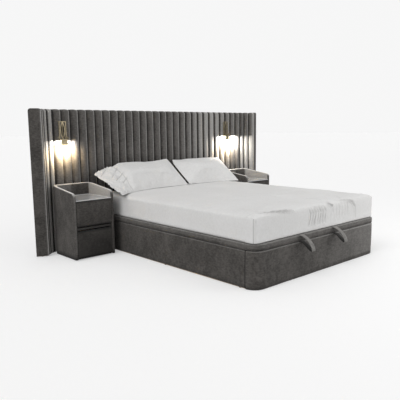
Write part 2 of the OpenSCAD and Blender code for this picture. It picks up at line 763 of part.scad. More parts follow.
// Side view of the shell: its top slopes down to a rounded front corner.
module shell_side() {
    slope = atan((shell_back_h - shell_front_h) / stand_d);
    cx = stand_front + shell_front_r;
    cz = shell_front_h + shell_front_r * tan(slope) - shell_front_r / cos(slope);
    polygon([[stand_front, side_cover_lift], [stand_back + eps, side_cover_lift],
        [stand_back + eps, shell_back_h + eps * tan(slope)],
        [cx - shell_front_r * sin(slope), cz + shell_front_r * cos(slope)], [cx, cz], [stand_front, cz]]);
    translate([cx, cz]) circle(r = shell_front_r);
}

module stand_shell(side) color(velvet) at_stand(side) intersection() {
    linear_extrude(shell_back_h + 10) difference() {
        back_rounded(stand_w, stand_front, stand_back, shell_corner_r);
        back_rounded(shell_in_w, stand_front - stand_d, stand_back - shell_t, shell_in_r);
    }
    across(-stand_w, 2 * stand_w) shell_side();
}

module carcass(side) color(timber) at_stand(side) {
    difference() {
        translate([0, 0, glide_h]) linear_extrude(top_board_z - glide_h)
            back_rounded(carcass_w, carcass_front, carcass_back, shell_in_r);
        bay_l = carcass_back - carcass_t - carcass_front + eps;
        translate([-bay_w / 2, carcass_front - eps, glide_h + carcass_t])
            cube([bay_w, bay_l, grip_rail_low - glide_h - carcass_t]);
        translate([-bay_w / 2, carcass_front - eps, grip_rail_high])
            cube([bay_w, bay_l, top_board_z - carcass_t - grip_rail_high]);
    }
    // grip rail between the two drawer fronts
    translate([-carcass_w / 2, stand_front + grip_setback, grip_rail_low])
        cube([carcass_w, carcass_front - stand_front - grip_setback, grip_rail_high - grip_rail_low]);
}

module tray(side) color([0.6, 0.6, 0.6]) at_stand(side) difference() {
    translate([0, 0, tray_top - tray_t]) linear_extrude(tray_t)
        back_rounded(carcass_w, stand_front + front_gap, carcass_back, shell_in_r);
    translate([0, 0, tray_top - tray_recess]) linear_extrude(tray_t)
        back_rounded(carcass_w - 2 * tray_edge, stand_front + front_gap + tray_edge, carcass_back - tray_edge,
            shell_in_r - tray_edge);
}

front_corner_r = 6;
module drawer_front(low, high) translate([0, stand_front + front_t, (low + high) / 2]) rotate([90, 0, 0])
    linear_extrude(front_t) rounded_rect(shell_in_w - 2 * front_gap, high - low, front_corner_r);

module drawer_box(z, h) difference() {
    translate([-box_w / 2, stand_front + front_t, z]) cube([box_w, box_back - stand_front - front_t, h]);
    translate([-box_w / 2 + box_wall, stand_front + front_t + box_wall, z + box_floor])
        cube([box_w - 2 * box_wall, box_back - stand_front - front_t - 2 * box_wall, h]);
}

module upper_front(side) color(velvet) at_stand(side)
    drawer_front(upper_front_z, top_board_z - front_gap);
module lower_front(side) color(velvet) at_stand(side) drawer_front(plinth_z, lower_front_z);
module upper_box(side) color(timber) at_stand(side) drawer_box(upper_box_z, upper_box_h);
module lower_box(side) color(timber) at_stand(side) drawer_box(lower_box_z, lower_box_h);

runner_lift = 12;   // above the bottom of the drawer box
runner_front = 4;   // behind the front edge of the carcass
runner_back = 6;    // in front of the back of the drawer box
module runners(side) color(steel) at_stand(side) for (s = sides, z = [lower_box_z, upper_box_z])
    translate([s > 0 ? bay_w / 2 - runner_t : -bay_w / 2, carcass_front + runner_front, z + runner_lift])
        cube([runner_t, box_back - runner_back - carcass_front - runner_front, runner_h]);

// ---- lights ----

module at_lamp(x) placed() translate([x, 0, 0]) children();
function lamp_x(side) = channel_w * (side < 0 ? lamp_left_in - flat_channels : flat_channels - lamp_right_in);

// Outline of a slim pointed loop: two arcs that meet above and below.
loop_h = lamp_h - lamp_block_h - 2 * lamp_bar - 8;
loop_w = 40;
lamp_boss_r = 7;
middle_bar = 3;
stem_r = 3;
lug_w = 16;
// how far the padding stands out at the boss's edge
boss_seat = crown_at(1 / channel_steps) * lamp_boss_r * channel_steps / channel_w;
module pointed_loop(h, w) {
    r = (h * h / 4 + w * w / 4) / w;
    intersection() {
        translate([w / 2 - r, 0]) circle(r = r, $fn = 96);
        translate([r - w / 2, 0]) circle(r = r, $fn = 96);
    }
}

module lamp_frame(side) color(brass) at_lamp(lamp_x(side)) {
    top = lamp_z + lamp_h;
    frame_low = lamp_z + lamp_block_h;
    // block with the light under it
    translate([-lamp_block_w / 2, lamp_face, lamp_z]) cube([lamp_block_w, lamp_d, lamp_block_h]);
    // open frame above the block
    translate([0, lamp_back, (frame_low + top) / 2]) rotate([90, 0, 0]) linear_extrude(lamp_plate_t)
        difference() {
            square([lamp_w, top - frame_low], center = true);
            square([lamp_w - 2 * lamp_bar, top - frame_low - 2 * lamp_bar], center = true);
        }
    // pointed loop in front of the frame, and the thin bar down its middle
    translate([0, lamp_back, (frame_low + top) / 2]) rotate([90, 0, 0]) linear_extrude(lamp_plate_t) {
        difference() {
            pointed_loop(loop_h + 4 * lamp_bar, loop_w + 8);
            pointed_loop(loop_h - lamp_bar, loop_w - 6);
        }
        translate([-middle_bar / 2, -loop_h / 2]) square([middle_bar, loop_h]);
    }
    // boss against the padding at the seam
    bar_y(0, lamp_z + lamp_block_h / 2, lamp_boss_r, lamp_back - eps, seam_y - boss_seat - fit);
    // lug and stem of the dimmer knob
    translate([lamp_knob_x - lug_w / 2, lamp_back - lamp_plate_t, lamp_knob_z - lug_w / 2])
        cube([lug_w, lamp_plate_t, lug_w]);
    bar_y(lamp_knob_x, lamp_knob_z, stem_r, lamp_face - eps, lamp_back - lamp_plate_t);
}

light_inset = 6;
knob_in = 4;        // how far the middle of the knob is behind the face of the block
light_t = 4;
module lamp_light(side) color([1, 0.93, 0.78]) at_lamp(lamp_x(side))
    translate([0, lamp_face + lamp_d / 2, lamp_z - light_t]) linear_extrude(light_t)
        rounded_rect(lamp_block_w - 2 * light_inset, lamp_d - 2 * light_inset, light_t);

module lamp_knob(side) color(brass) at_lamp(lamp_x(side)) difference() {
    translate([lamp_knob_x, lamp_face + knob_in, lamp_knob_z]) sphere(r = knob_r);
    bar_y(lamp_knob_x, lamp_knob_z, stem_r + fit, lamp_face - 2 * eps, lamp_back);
}

headboard_core();
wing_core(-1);  // wing_core_left
wing_core(1);  // wing_core_right
headboard_channels();
wing_channels(-1);  // wing_channels_left
wing_channels(1);  // wing_channels_right
end_pad(-1);  // end_pad_left
end_pad(1);  // end_pad_right
headboard_back_cover();
joining_hardware();
floor_glides();
side_rail(-1);  // side_rail_left
side_rail(1);  // side_rail_right
foot_panel();
head_panel();
side_cover(-1);  // side_cover_left
side_cover(1);  // side_cover_right
foot_cover();
storage_floor();
lid_battens();
lid_board();
lid_cover();
pull_strap(strap_left_x);  // pull_strap_left
pull_strap(strap_right_x);  // pull_strap_right
lid_brackets();
lift_bracket(-1);  // lift_bracket_left
lift_bracket(1);  // lift_bracket_right
rear_arm(-1);  // rear_arm_left
rear_arm(1);  // rear_arm_right
front_arm(-1);  // front_arm_left
front_arm(1);  // front_arm_right
gas_cylinder(-1);  // gas_cylinder_left
gas_cylinder(1);  // gas_cylinder_right
gas_rod(-1);  // gas_rod_left
gas_rod(1);  // gas_rod_right
mattress();
pillow(pillow_meet - pillow_gap / 2 - pillow_left_l, pillow_meet - pillow_gap / 2,  // pillow_left
        pillow_left_forward, pillow_left_droop);
pillow(pillow_meet + pillow_gap / 2, pillow_meet + pillow_gap / 2 + pillow_right_l,  // pillow_right
        pillow_right_forward, pillow_right_droop);
stand_shell(-1);  // stand_shell_left
stand_shell(1);  // stand_shell_right
carcass(-1);  // carcass_left
carcass(1);  // carcass_right
tray(-1);  // tray_left
tray(1);  // tray_right
upper_front(-1);  // upper_front_left
upper_front(1);  // upper_front_right
upper_box(-1);  // upper_box_left
upper_box(1);  // upper_box_right
lower_front(-1);  // lower_front_left
lower_front(1);  // lower_front_right
lower_box(-1);  // lower_box_left
lower_box(1);  // lower_box_right
runners(-1);  // runners_left
runners(1);  // runners_right
lamp_frame(-1);  // lamp_frame_left
lamp_frame(1);  // lamp_frame_right
lamp_light(-1);  // lamp_light_left
lamp_light(1);  // lamp_light_right
lamp_knob(-1);  // lamp_knob_left
lamp_knob(1);  // lamp_knob_right
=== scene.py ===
import math

import bpy
from mathutils import Matrix, Vector, noise


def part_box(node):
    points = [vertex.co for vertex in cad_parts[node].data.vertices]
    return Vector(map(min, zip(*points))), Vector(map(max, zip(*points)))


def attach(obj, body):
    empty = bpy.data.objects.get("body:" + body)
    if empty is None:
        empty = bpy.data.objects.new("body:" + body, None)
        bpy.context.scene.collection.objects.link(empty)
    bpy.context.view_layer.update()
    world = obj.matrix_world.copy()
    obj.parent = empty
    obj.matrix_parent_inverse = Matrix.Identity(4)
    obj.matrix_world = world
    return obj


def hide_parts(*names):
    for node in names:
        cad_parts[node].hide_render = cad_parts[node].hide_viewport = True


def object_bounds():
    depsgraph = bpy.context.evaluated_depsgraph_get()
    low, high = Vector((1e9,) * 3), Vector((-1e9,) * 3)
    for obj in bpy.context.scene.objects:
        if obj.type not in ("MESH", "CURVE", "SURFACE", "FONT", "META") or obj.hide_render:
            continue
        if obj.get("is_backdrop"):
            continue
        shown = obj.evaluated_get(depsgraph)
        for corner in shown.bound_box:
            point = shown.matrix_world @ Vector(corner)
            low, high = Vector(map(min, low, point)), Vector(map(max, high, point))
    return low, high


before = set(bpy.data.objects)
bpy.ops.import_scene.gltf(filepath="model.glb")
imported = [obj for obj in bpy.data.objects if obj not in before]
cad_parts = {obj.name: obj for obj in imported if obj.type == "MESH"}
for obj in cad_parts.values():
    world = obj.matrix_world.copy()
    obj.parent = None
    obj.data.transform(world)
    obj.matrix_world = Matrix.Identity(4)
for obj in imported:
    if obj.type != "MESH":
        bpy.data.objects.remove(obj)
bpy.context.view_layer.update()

scene = bpy.context.scene
bpy.ops.object.select_all(action="DESELECT")

# ---- camera ----
# The photograph's viewpoint: left of the foot end, at sitting height, turned to the headboard.
bpy.ops.object.camera_add(
    location=(-3.3727, -3.3025, 1.1418),
    rotation=[math.radians(a) for a in (81.1552, 0.5059, -43.0557)],
)
scene.camera = bpy.context.object
scene.camera.data.lens = 45.5
scene.camera.data.sensor_width = 36
scene.camera.data.shift_x = -0.019
scene.camera.data.shift_y = 0.0160
scene.camera.data.clip_end = 200
scene.view_settings.view_transform = "Standard"

# ---- studio ----
# A pale floor that runs on to the horizon, one wide soft key light from above the foot end on the
# left, and an even white surround. The camera sees floor and surround in the same near white.
backdrop = 0.926
surround_light = 0.54
floor_reflects = 0.62


class Shade:
    """A socket of a material, worked with as a number: its operators add the Math nodes."""

    def __init__(self, tree, socket):
        self.tree, self.socket = tree, socket

    def node(self, kind, settings, values, out=0):
        """Adds a node: its settings first, then the value or link of each socket."""
        made = self.tree.nodes.new(kind)
        for name, value in settings.items():
            setattr(made, name, value)
        for name, value in values.items():
            if isinstance(value, Shade):
                self.tree.links.new(value.socket, made.inputs[name])
            elif value is not None:
                made.inputs[name].default_value = value
        return Shade(self.tree, made.outputs[out])

    def maths(self, operation, a, b=None):
        return self.node("ShaderNodeMath", {"operation": operation}, {0: a, 1: b})

    def __add__(self, other): return self.maths("ADD", self, other)
    def __radd__(self, other): return self.maths("ADD", other, self)
    def __rsub__(self, other): return self.maths("SUBTRACT", other, self)
    def __mul__(self, other): return self.maths("MULTIPLY", self, other)
    def __rtruediv__(self, other): return self.maths("DIVIDE", other, self)

    def limited(self, low, high):
        """The same value, stretched so that low becomes 0 and high becomes 1, and held there."""
        settings = {"interpolation_type": "SMOOTHSTEP"}
        return self.node("ShaderNodeMapRange", settings, {0: self, 1: low, 2: high})

    def tint(self, dark, light):
        """A colour from dark, where the value is 0, to light, where it is 1."""
        colours = [c if isinstance(c, Shade) else (*c, 1) for c in (dark, light)]
        return self.node("ShaderNodeMix", {"data_type": "RGBA"}, {0: self, 6: colours[0], 7: colours[1]}, 2)

    def stretched(self, x, y, z):
        """The place, with a pattern's size along each axis changed."""
        return self.node("ShaderNodeMapping", {}, {0: self, 3: (x, y, z)})

    def cloudy(self, scale, detail=3.0, rough=0.5, twist=0.0):
        """Soft noise over the place, from 0 to 1."""
        return self.node("ShaderNodeTexNoise", {}, {
            "Vector": self, "Scale": scale, "Detail": detail, "Roughness": rough, "Distortion": twist})

    def axes(self):
        """The x, y and z of the place."""
        split = self.node("ShaderNodeSeparateXYZ", {}, {0: self})
        return [Shade(self.tree, out) for out in split.socket.node.outputs]


def new_material(name):
    """A node material, its shader, and the place on the piece."""
    material = bpy.data.materials.new(name)
    material.use_nodes = True
    tree = material.node_tree
    shader = tree.nodes["Principled BSDF"]
    place = Shade(tree, tree.nodes.new("ShaderNodeTexCoord").outputs["Object"])
    return material, shader, place


def finish(place, shader, colour, roughness, height=None, depth=0.001, strength=1.0, **fixed):
    """Wires a material: what varies over the surface, the relief as a bump, and the fixed numbers."""
    for name, value in {"Base Color": colour, "Roughness": roughness}.items():
        if isinstance(value, Shade):
            place.tree.links.new(value.socket, shader.inputs[name])
        else:
            shader.inputs[name].default_value = value
    if height is not None:
        bump = place.node("ShaderNodeBump", {}, {"Strength": strength, "Distance": depth, "Height": height})
        place.tree.links.new(bump.socket, shader.inputs["Normal"])
    for name, value in fixed.items():
        shader.inputs[name.replace("_", " ")].default_value = value


world = bpy.data.worlds.new("surround")
world.use_nodes = True
scene.world = world
rays = Shade(world.node_tree, world.node_tree.nodes.new("ShaderNodeLightPath").outputs["Is Camera Ray"])
glossy, clear = [
    Shade(rays.tree, rays.socket.node.outputs[kind]) for kind in ("Is Glossy Ray", "Is Transmission Ray")]
seen = rays.maths("MAXIMUM", rays.maths("MAXIMUM", rays, glossy), clear)
surround = world.node_tree.nodes["Background"]
surround.inputs["Color"].default_value = (1, 1, 1, 1)
rays.tree.links.new((seen * (backdrop - surround_light) + surround_light).socket, surround.inputs["Strength"])

bpy.ops.mesh.primitive_plane_add(size=160)
floor = bpy.context.object
floor.name = "studio_floor"
pale, shader, place = new_material("studio_floor")
finish(place, shader, (floor_reflects, floor_reflects, floor_reflects, 1), 0.9)
floor.data.materials.append(pale)
floor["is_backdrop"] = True
rays = Shade(place.tree, place.tree.nodes.new("ShaderNodeLightPath").outputs["Is Camera Ray"])
lift = place.node("ShaderNodeEmission", {}, {"Color": (1, 1, 1, 1), "Strength": rays * 0.39})
both = place.node("ShaderNodeAddShader", {}, {0: Shade(place.tree, shader.outputs[0]), 1: lift})
place.tree.links.new(both.socket, place.tree.nodes["Material Output"].inputs["Surface"])

bpy.ops.object.light_add(type="SUN", location=(-3, -4, 5), rotation=[math.radians(a) for a in (44, 0, -82)])
key = bpy.context.object
key.name = "key_light"
key.data.energy = 1.15
key.data.angle = math.radians(36)
bpy.ops.object.light_add(
    type="AREA", location=(2.2, -3.9, 1.3), rotation=[math.radians(a) for a in (72, 0, 27)])
fill = bpy.context.object
fill.name = "fill_light"
fill.data.energy = 41
fill.data.size = 2.0

# ---- timber of the headboard ----
# A core of studs behind a front board, with a curved one in each wing: pale pine plywood that
# the upholstery hides, apart from the underside. The nodes of the solid model carry the finish.


def timber(name, pale_tone, dark_tone, lengthways, grain=26.0, roughness=0.62):
    """Timber with its grain along one axis: growth bands, fine pores and a slight relief."""
    material, shader, place = new_material(name)
    along = place.stretched(*[0.06 if axis == lengthways else 1.0 for axis in range(3)])
    rings = along.cloudy(grain, 2.0, 0.5, 1.2) * 7.0
    bands = rings.maths("PINGPONG", rings, 1.0)
    pores = along.cloudy(grain * 18, 2.0)
    tone = (bands * 0.45 + pores * 0.35 + place.cloudy(2.5) * 0.35).limited(0.2, 0.95)
    finish(place, shader, tone.tint(dark_tone, pale_tone), roughness + pores * 0.15,
           pores + bands * 0.3, 0.0004, 0.5)
    return material


def give(material, *nodes):
    """Puts a material on nodes of the solid model."""
    for name in nodes:
        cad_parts[name].data.materials.clear()
        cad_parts[name].data.materials.append(material)


plywood = timber("plywood", (0.60, 0.45, 0.29), (0.42, 0.29, 0.17), 2)
give(plywood, "headboard_core", "wing_core_left", "wing_core_right", "foot_panel", "lid_battens")

# ---- channelled upholstery of the headboard ----
# Vertical channels of charcoal velvet over foam, 88 mm wide, sewn through at each seam and pulled
# over the top to the back. One channel is modelled and copied along the flat part, and three
# narrower copies are bent round each wing, which turns forward to the outer side of its stand.
channels_low, channels_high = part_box("headboard_channels")
sides = ((-1, "left"), (1, "right"))
channel_w = 0.088
channel_proud = 0.020
channel_count = 28
wing_count = 3
wing_channel_w = 0.064
wing_r = 0.170
top_round = 0.024
dip_z, dip_h = 1.2, 0.11
hem_h = 0.022
cloth_top, under_cloth = 1.29, 0.0075
lamp_x, lamp_z = 1.14, 1.045
seam_y = channels_low.y + channel_proud
front_y = seam_y + 0.01
flat_half = channels_high.x
wing_y = seam_y - wing_r

# Velvet has cloudy brushed patches where the pile lies one way or the other, over a fine nap. The
# mesh's own value paints light and shade into the colour: a painted highlight up to 1, a paler
# painted highlight up to 2 where lamp light falls on rims, and painted shade in seams and hems down to -1.
velvet, shader, place = new_material("charcoal_velvet")
painted_shading = place.node("ShaderNodeAttribute", {"attribute_name": "painted_shading"}, {}, 2)
brushed = place.stretched(1.0, 1.0, 0.7)
patches = brushed.cloudy(7.0, 4.0, 0.62, 0.6)
strokes = brushed.cloudy(38.0, 3.0, 0.6, 0.4)
flecks = place.stretched(0.5, 0.5, 1.0).cloudy(85.0, 3.0, 0.75)
nap = place.cloudy(900.0, 2.0, 0.6)
colour = (patches * 0.42 + strokes * 0.20 + flecks * 0.48).limited(0.38, 0.72).tint(
    (0.036, 0.033, 0.030), (0.105, 0.097, 0.090))
# Painted highlight, paler painted highlight on lit rims, and painted shade, all from the mesh's value.
colour = (painted_shading * (0.55 + flecks * 0.90)).limited(0.0, 1.0).tint(colour, (0.42, 0.41, 0.395))
colour = painted_shading.limited(1.0, 2.0).tint(colour, (0.80, 0.785, 0.76))
colour = painted_shading.limited(0.0, -1.0).tint(colour, (0.008, 0.0075, 0.007))
finish(place, shader, colour, 0.92 - patches * 0.14, nap + strokes * 0.35, 0.0012, 0.35,
       Sheen_Weight=0.30, Sheen_Roughness=0.35, Sheen_Tint=(0.86, 0.84, 0.82, 1), IOR=1.4)


def near(at, middle, width):
    """1 at the middle, falling off evenly on both sides to almost nothing at twice the width."""
    return math.exp(-((at - middle) / width) ** 2)


def held(value, low=0.0, high=1.0):
    """The value, kept between two limits."""
    return min(high, max(low, value))


def block(name, low, high):
    """A block between two corners."""
    bpy.ops.object.select_all(action="DESELECT")
    bpy.ops.mesh.primitive_cube_add(
        size=1, location=[(a + b) / 2 for a, b in zip(low, high)], scale=[b - a for a, b in zip(low, high)])
    piece = bpy.context.object
    piece.name = name
    bpy.ops.object.transform_apply(location=True, rotation=True, scale=True)
    return piece


def picked(piece):
    """Selects just this piece, and makes it the active one."""
    bpy.ops.object.select_all(action="DESELECT")
    piece.select_set(True)
    bpy.context.view_layer.objects.active = piece


def open_with(piece, mode="FACE", wanted=lambda centre, normal: True):
    """Opens a piece in edit mode with just the faces or edges selected that are wanted."""
    picked(piece)
    bpy.ops.object.mode_set(mode="EDIT")
    bpy.ops.mesh.select_mode(type=mode)
    bpy.ops.mesh.select_all(action="DESELECT")
    bpy.ops.object.mode_set(mode="OBJECT")
    mesh = piece.data
    if mode == "EDGE":
        for e in mesh.edges:
            e.select = bool(wanted(*[mesh.vertices[i].co for i in e.vertices]))
    else:
        for f in mesh.polygons:
            f.select = bool(wanted(f.center, f.normal))
    bpy.ops.object.mode_set(mode="EDIT")


def closed():
    bpy.ops.object.mode_set(mode="OBJECT")


def rounded(piece, mode, radius, segments, wanted):
    """Rounds the edges that are wanted, or those round the faces that are wanted."""
    open_with(piece, mode, wanted)
    bpy.ops.mesh.bevel(offset=radius, segments=segments, affect="EDGES")
    closed()


def faces_out(piece):
    """Turns every face of a piece outwards."""
    open_with(piece)
    bpy.ops.mesh.normals_make_consistent(inside=False)
    closed()


def cut_across(piece, axis, places):
    """Cuts a piece through at each place along an axis."""
    open_with(piece)
    for at in places:
        bpy.ops.mesh.select_all(action="SELECT")
        point, normal = [0, 0, 0], [0, 0, 0]
        point[axis], normal[axis] = at, 1
        bpy.ops.mesh.bisect(plane_co=point, plane_no=normal)
    closed()


def smooth(piece, angle=50):
    picked(piece)
    bpy.ops.object.shade_smooth_by_angle(angle=math.radians(angle))


def fitted(piece, body, material, replaces=()):
    """A finished piece: its material, the body that carries it, and the solids it stands for."""
    piece.data.materials.clear()
    piece.data.materials.append(material)
    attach(piece, body)
    if replaces:
        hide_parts(*replaces)


def paint_shading(piece, how):
    """Sets a piece's painted light and shade: a list with each vertex's value, or a rule for it from place and
    normal.
    """
    if callable(how):
        how = [how(v.co, v.normal) for v in piece.data.vertices]
    piece.data.attributes.new("painted_shading", "FLOAT", "POINT").data.foreach_set("value", how)


def painted_points(piece):
    """Each vertex of a piece, with its painted light and shade."""
    return zip(piece.data.vertices, piece.data.attributes["painted_shading"].data)


def flank(across):
    """The painted light and shade across a channel: painted shade in its seams, and a painted highlight on the
    flank beside the far one.
    """
    seam = min(across, 1 - across)
    if seam < 0.05:
        return -1 + seam / 0.05
    return 0.20 + 0.28 * across ** 2 + 0.50 * near(across, 0.87, 0.07) - 0.70 * near(across, 0.06, 0.11)


def along_top(a, b):
    """Whether an edge runs sideways along the headboard's top."""
    return min(a.z, b.z) > channels_high.z - 0.02 and abs(a.y - b.y) < 1e-4


first_x = -flat_half
one = block("channel", (first_x, seam_y, channels_low.z),
            (first_x + channel_w, channels_high.y, channels_high.z))
rounded(one, "EDGE", top_round, 5, along_top)
cut_across(one, 0, [first_x + channel_w / 2 * (1 - math.cos(math.pi * k / 12)) for k in range(1, 12)])
cut_across(one, 2, [channels_low.z + 0.02 * k for k in range(1, 64)])
cut_across(one, 1, [channels_high.y - 0.03, channels_high.y - 0.05, channels_high.y - 0.07])
back_edge = channels_high.y - 0.02
for v in one.data.vertices:
    share = (v.co.x - first_x) / channel_w
    proud = channel_proud * max(0.0, 1 - abs(2 * share - 1) ** 2) ** 0.6
    front = held((back_edge - v.co.y) / (back_edge - seam_y))
    above = max(0.0, (v.co.z - dip_z) / dip_h)
    v.co.y -= proud * front ** 2
    v.co.z -= 0.3 * (channel_proud - proud) * above
    if v.co.z < channels_low.z + hem_h:
        v.co.y += 0.4 * proud * front * (1 - (v.co.z - channels_low.z) / hem_h)
    if v.co.z < cloth_top and v.co.y > channels_high.y - 0.01:
        v.co.y -= under_cloth
paint_shading(one, lambda at, normal: flank((at.x - first_x) / channel_w) if at.y < front_y else 0.0)


def copied(piece, along):
    """A copy with its own mesh, moved along x."""
    made = bpy.data.objects.new(piece.name, piece.data.copy())
    bpy.context.collection.objects.link(made)
    made.data.transform(Matrix.Translation((along, 0, 0)))
    return made


def joined(name, pieces):
    """Several pieces made into one."""
    picked(pieces[0])
    for piece in pieces:
        piece.select_set(True)
    bpy.ops.object.join()
    pieces[0].name = name
    return pieces[0]


def bent(piece, side, narrower=1.0):
    """Bends a straight piece that starts at x = 0 round the wing of one side."""
    for v in piece.data.vertices:
        angle, radius = v.co.x * narrower / wing_r, wing_r - (seam_y - v.co.y)
        v.co.x = side * (flat_half + radius * math.sin(angle))
        v.co.y = wing_y + radius * math.cos(angle)
    if side < 0:
        faces_out(piece)


flat = joined("channels_flat", [copied(one, i * channel_w) for i in range(channel_count)])
# Painted light on the flat channels: the painted shade in the seams is eased under each lamp, the painted
# highlights grow towards the right, with a painted pool of light right of the middle, and below each lamp they
# are evened to a painted glow.
for v, painted_shading in painted_points(flat):
    if v.co.y > front_y:
        continue
    near_lamp = near(abs(v.co.x), lamp_x, 0.13) if v.co.z < lamp_z else 0.0
    if painted_shading.value < 0:
        painted_shading.value *= 1 - 0.8 * near_lamp
    else:
        painted_shading.value *= 0.66 + 0.46 * ((v.co.x / flat_half + 1) / 2) ** 1.5
        painted_shading.value += 0.50 * near(v.co.x, 0.72, 0.28)
        painted_shading.value += (0.26 - 0.85 * painted_shading.value) * near_lamp
strips = {"headboard_channels": flat}
for side, label in sides:
    strip = joined(f"channels_wing_{label}", [copied(one, i * channel_w - first_x) for i in range(wing_count)])
    for v, painted_shading in painted_points(strip):
        # Painted highlight on the wing channels: on the whole left wing, and on the right wing below its lamp.
        if painted_shading.value > 0:
            painted_shading.value = 0.9 * painted_shading.value + (0.50 if side < 0 else 0.70 if v.co.z < lamp_z else 0.0)
        if side < 0:
            v.co.x = (2 * math.floor(v.co.x / channel_w - 1e-6) + 1) * channel_w - v.co.x
    bent(strip, side, wing_channel_w / channel_w)
    strips[f"wing_channels_{label}"] = strip
bpy.data.objects.remove(one)
for node, strip in strips.items():
    for v in strip.data.vertices:
        if v.co.y < back_edge:
            v.co.y -= noise.noise(v.co * 5.0) * 0.0016 + noise.noise(v.co * 38.0) * 0.0008
    smooth(strip, 60)
    fitted(strip, "frame", velvet, [node])

# ---- padded ends of the wings ----
# Each wing ends in a flat padded panel of the same velvet, as tall as the channels, with its top
# corners rounded like theirs and a seam all round. It is modelled at the origin, facing +X, and
# then set on the end of its wing.
panel_t, panel_deep = 0.010, 0.110
panel_front = -channel_proud / 2
turn = wing_count * wing_channel_w / wing_r
for side, label in sides:
    pad = block(f"end_panel_{label}", (0.0, panel_front, channels_low.z),
                (panel_t, panel_front + panel_deep, channels_high.z))
    rounded(pad, "EDGE", top_round, 6, along_top)
    rounded(pad, "EDGE", 0.0045, 3, lambda a, b: min(a.x, b.x) > panel_t - 0.001)
    cut_across(pad, 2, [0.05 * k for k in range(1, 26)])
    cut_across(pad, 1, [0.015 * k for k in range(0, 7)])
    edge_highlight = []
    for v in pad.data.vertices:
        # A painted highlight along the panel's front edge.
        edge_highlight.append(0.9 * near(v.co.y, panel_front, 0.009))
        if v.co.x > panel_t - 0.0001:
            across = held((v.co.y - panel_front) / panel_deep)
            v.co.x += 0.0035 * math.sin(math.pi * across) - 0.001 + noise.noise(v.co * 9) * 0.0012
        out, radius = v.co.x, wing_r + v.co.y
        v.co.x = side * (flat_half + radius * math.sin(turn) + out * math.cos(turn))
        v.co.y = wing_y + radius * math.cos(turn) - out * math.sin(turn)
    if side < 0:
        faces_out(pad)
    paint_shading(pad, edge_highlight)
    smooth(pad, 40)
    fitted(pad, "frame", velvet, [f"end_pad_{label}"])

# ---- back of the headboard ----
# A flat panel of plain charcoal cloth, stapled over the back of the core, with its edge turned
# under: one piece on the flat part, and one bent round each wing.
cloth, shader, place = new_material("backing_cloth")
threads = place.cloudy(420.0, 2.0)
finish(place, shader, (threads * 0.7 + place.cloudy(5.0) * 0.4).limited(0.3, 0.8).tint(
    (0.030, 0.029, 0.029), (0.062, 0.060, 0.059)), 0.95 - threads * 0.1, threads, 0.0006, 0.5)
back_low, back_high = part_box("headboard_back_cover")
back_in_y = back_high.y - 0.008
wing_span = wing_count * wing_channel_w
back = block("back_cloth", (-flat_half, back_in_y, back_low.z), (flat_half, back_high.y, back_high.z))
cut_across(back, 0, [-flat_half + channel_w * k for k in range(1, channel_count)])
cut_across(back, 2, [0.1 * k for k in range(1, 13)])
rounded(back, "EDGE", 0.003, 2, lambda a, b: min(a.y, b.y) > back_high.y - 1e-4 and (
    min(a.z, b.z) > back_high.z - 1e-4 or max(a.z, b.z) < back_low.z + 1e-4))
for v in back.data.vertices:
    if v.co.y > back_high.y - 1e-4:
        v.co.y -= 0.0006 + 0.0006 * noise.noise(v.co * 4)
smooth(back, 40)
backs = [back]
for side, label in sides:
    back = block("back_wing", (0, back_in_y, back_low.z), (wing_span, back_high.y, back_high.z))
    cut_across(back, 0, [wing_span * k / 12 for k in range(1, 12)])
    cut_across(back, 2, [0.1 * k for k in range(1, 13)])
    bent(back, side)
    smooth(back, 40)
    backs.append(back)
fitted(joined("back_cloth", backs), "frame", cloth, ["headboard_back_cover"])

# ---- steel that joins the bed ----
# Spacers, bolts and corner plates in zinc-plated steel hold the base and the nightstands to the
# headboard; black plastic glides are nailed under every rail, panel and carcass.
zinc, shader, place = new_material("zinc_plate")
fleck = place.cloudy(60.0, 4.0)
finish(place, shader, (fleck * 0.6 + place.cloudy(400.0) * 0.4).tint((0.42, 0.43, 0.45), (0.66, 0.67, 0.69)),
       0.30 + fleck * 0.22, fleck, 0.0003, 0.3, Metallic=1.0)
plastic, shader, place = new_material("black_plastic")
grain = place.cloudy(700.0, 2.0)
finish(place, shader, grain.tint((0.012, 0.012, 0.013), (0.030, 0.030, 0.032)), 0.5 + grain * 0.2,
       grain, 0.0003, 0.4)
give(zinc, "joining_hardware")
give(plastic, "floor_glides")

# ---- base ----
# A box of plywood rails with a storage floor, wrapped outside in thin foam and charcoal velvet.
# The cover of the foot end is one piece that goes round both corners, and is sewn to the side
# covers in an upright seam; its hem hangs a little lower.
base_half = 0.820
foot_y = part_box("foot_cover")[0].y
head_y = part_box("head_panel")[1].y
base_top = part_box("foot_cover")[1].z
corner_r = 0.100
seam_at = foot_y + corner_r
turn_x = base_half - corner_r
give(plywood, "side_rail_left", "side_rail_right", "head_panel")
board = timber("grey_board", (0.200, 0.185, 0.170), (0.130, 0.118, 0.108), 1, 18.0, 0.5)
give(board, "storage_floor", "lid_board")


def outline(name, points):
    """A flat piece with these corners."""
    bpy.ops.object.select_all(action="DESELECT")
    bpy.ops.mesh.primitive_circle_add(vertices=len(points), radius=1, fill_type="NGON")
    piece = bpy.context.object
    piece.name = name
    for v, point in zip(piece.data.vertices, points):
        v.co = point
    return piece


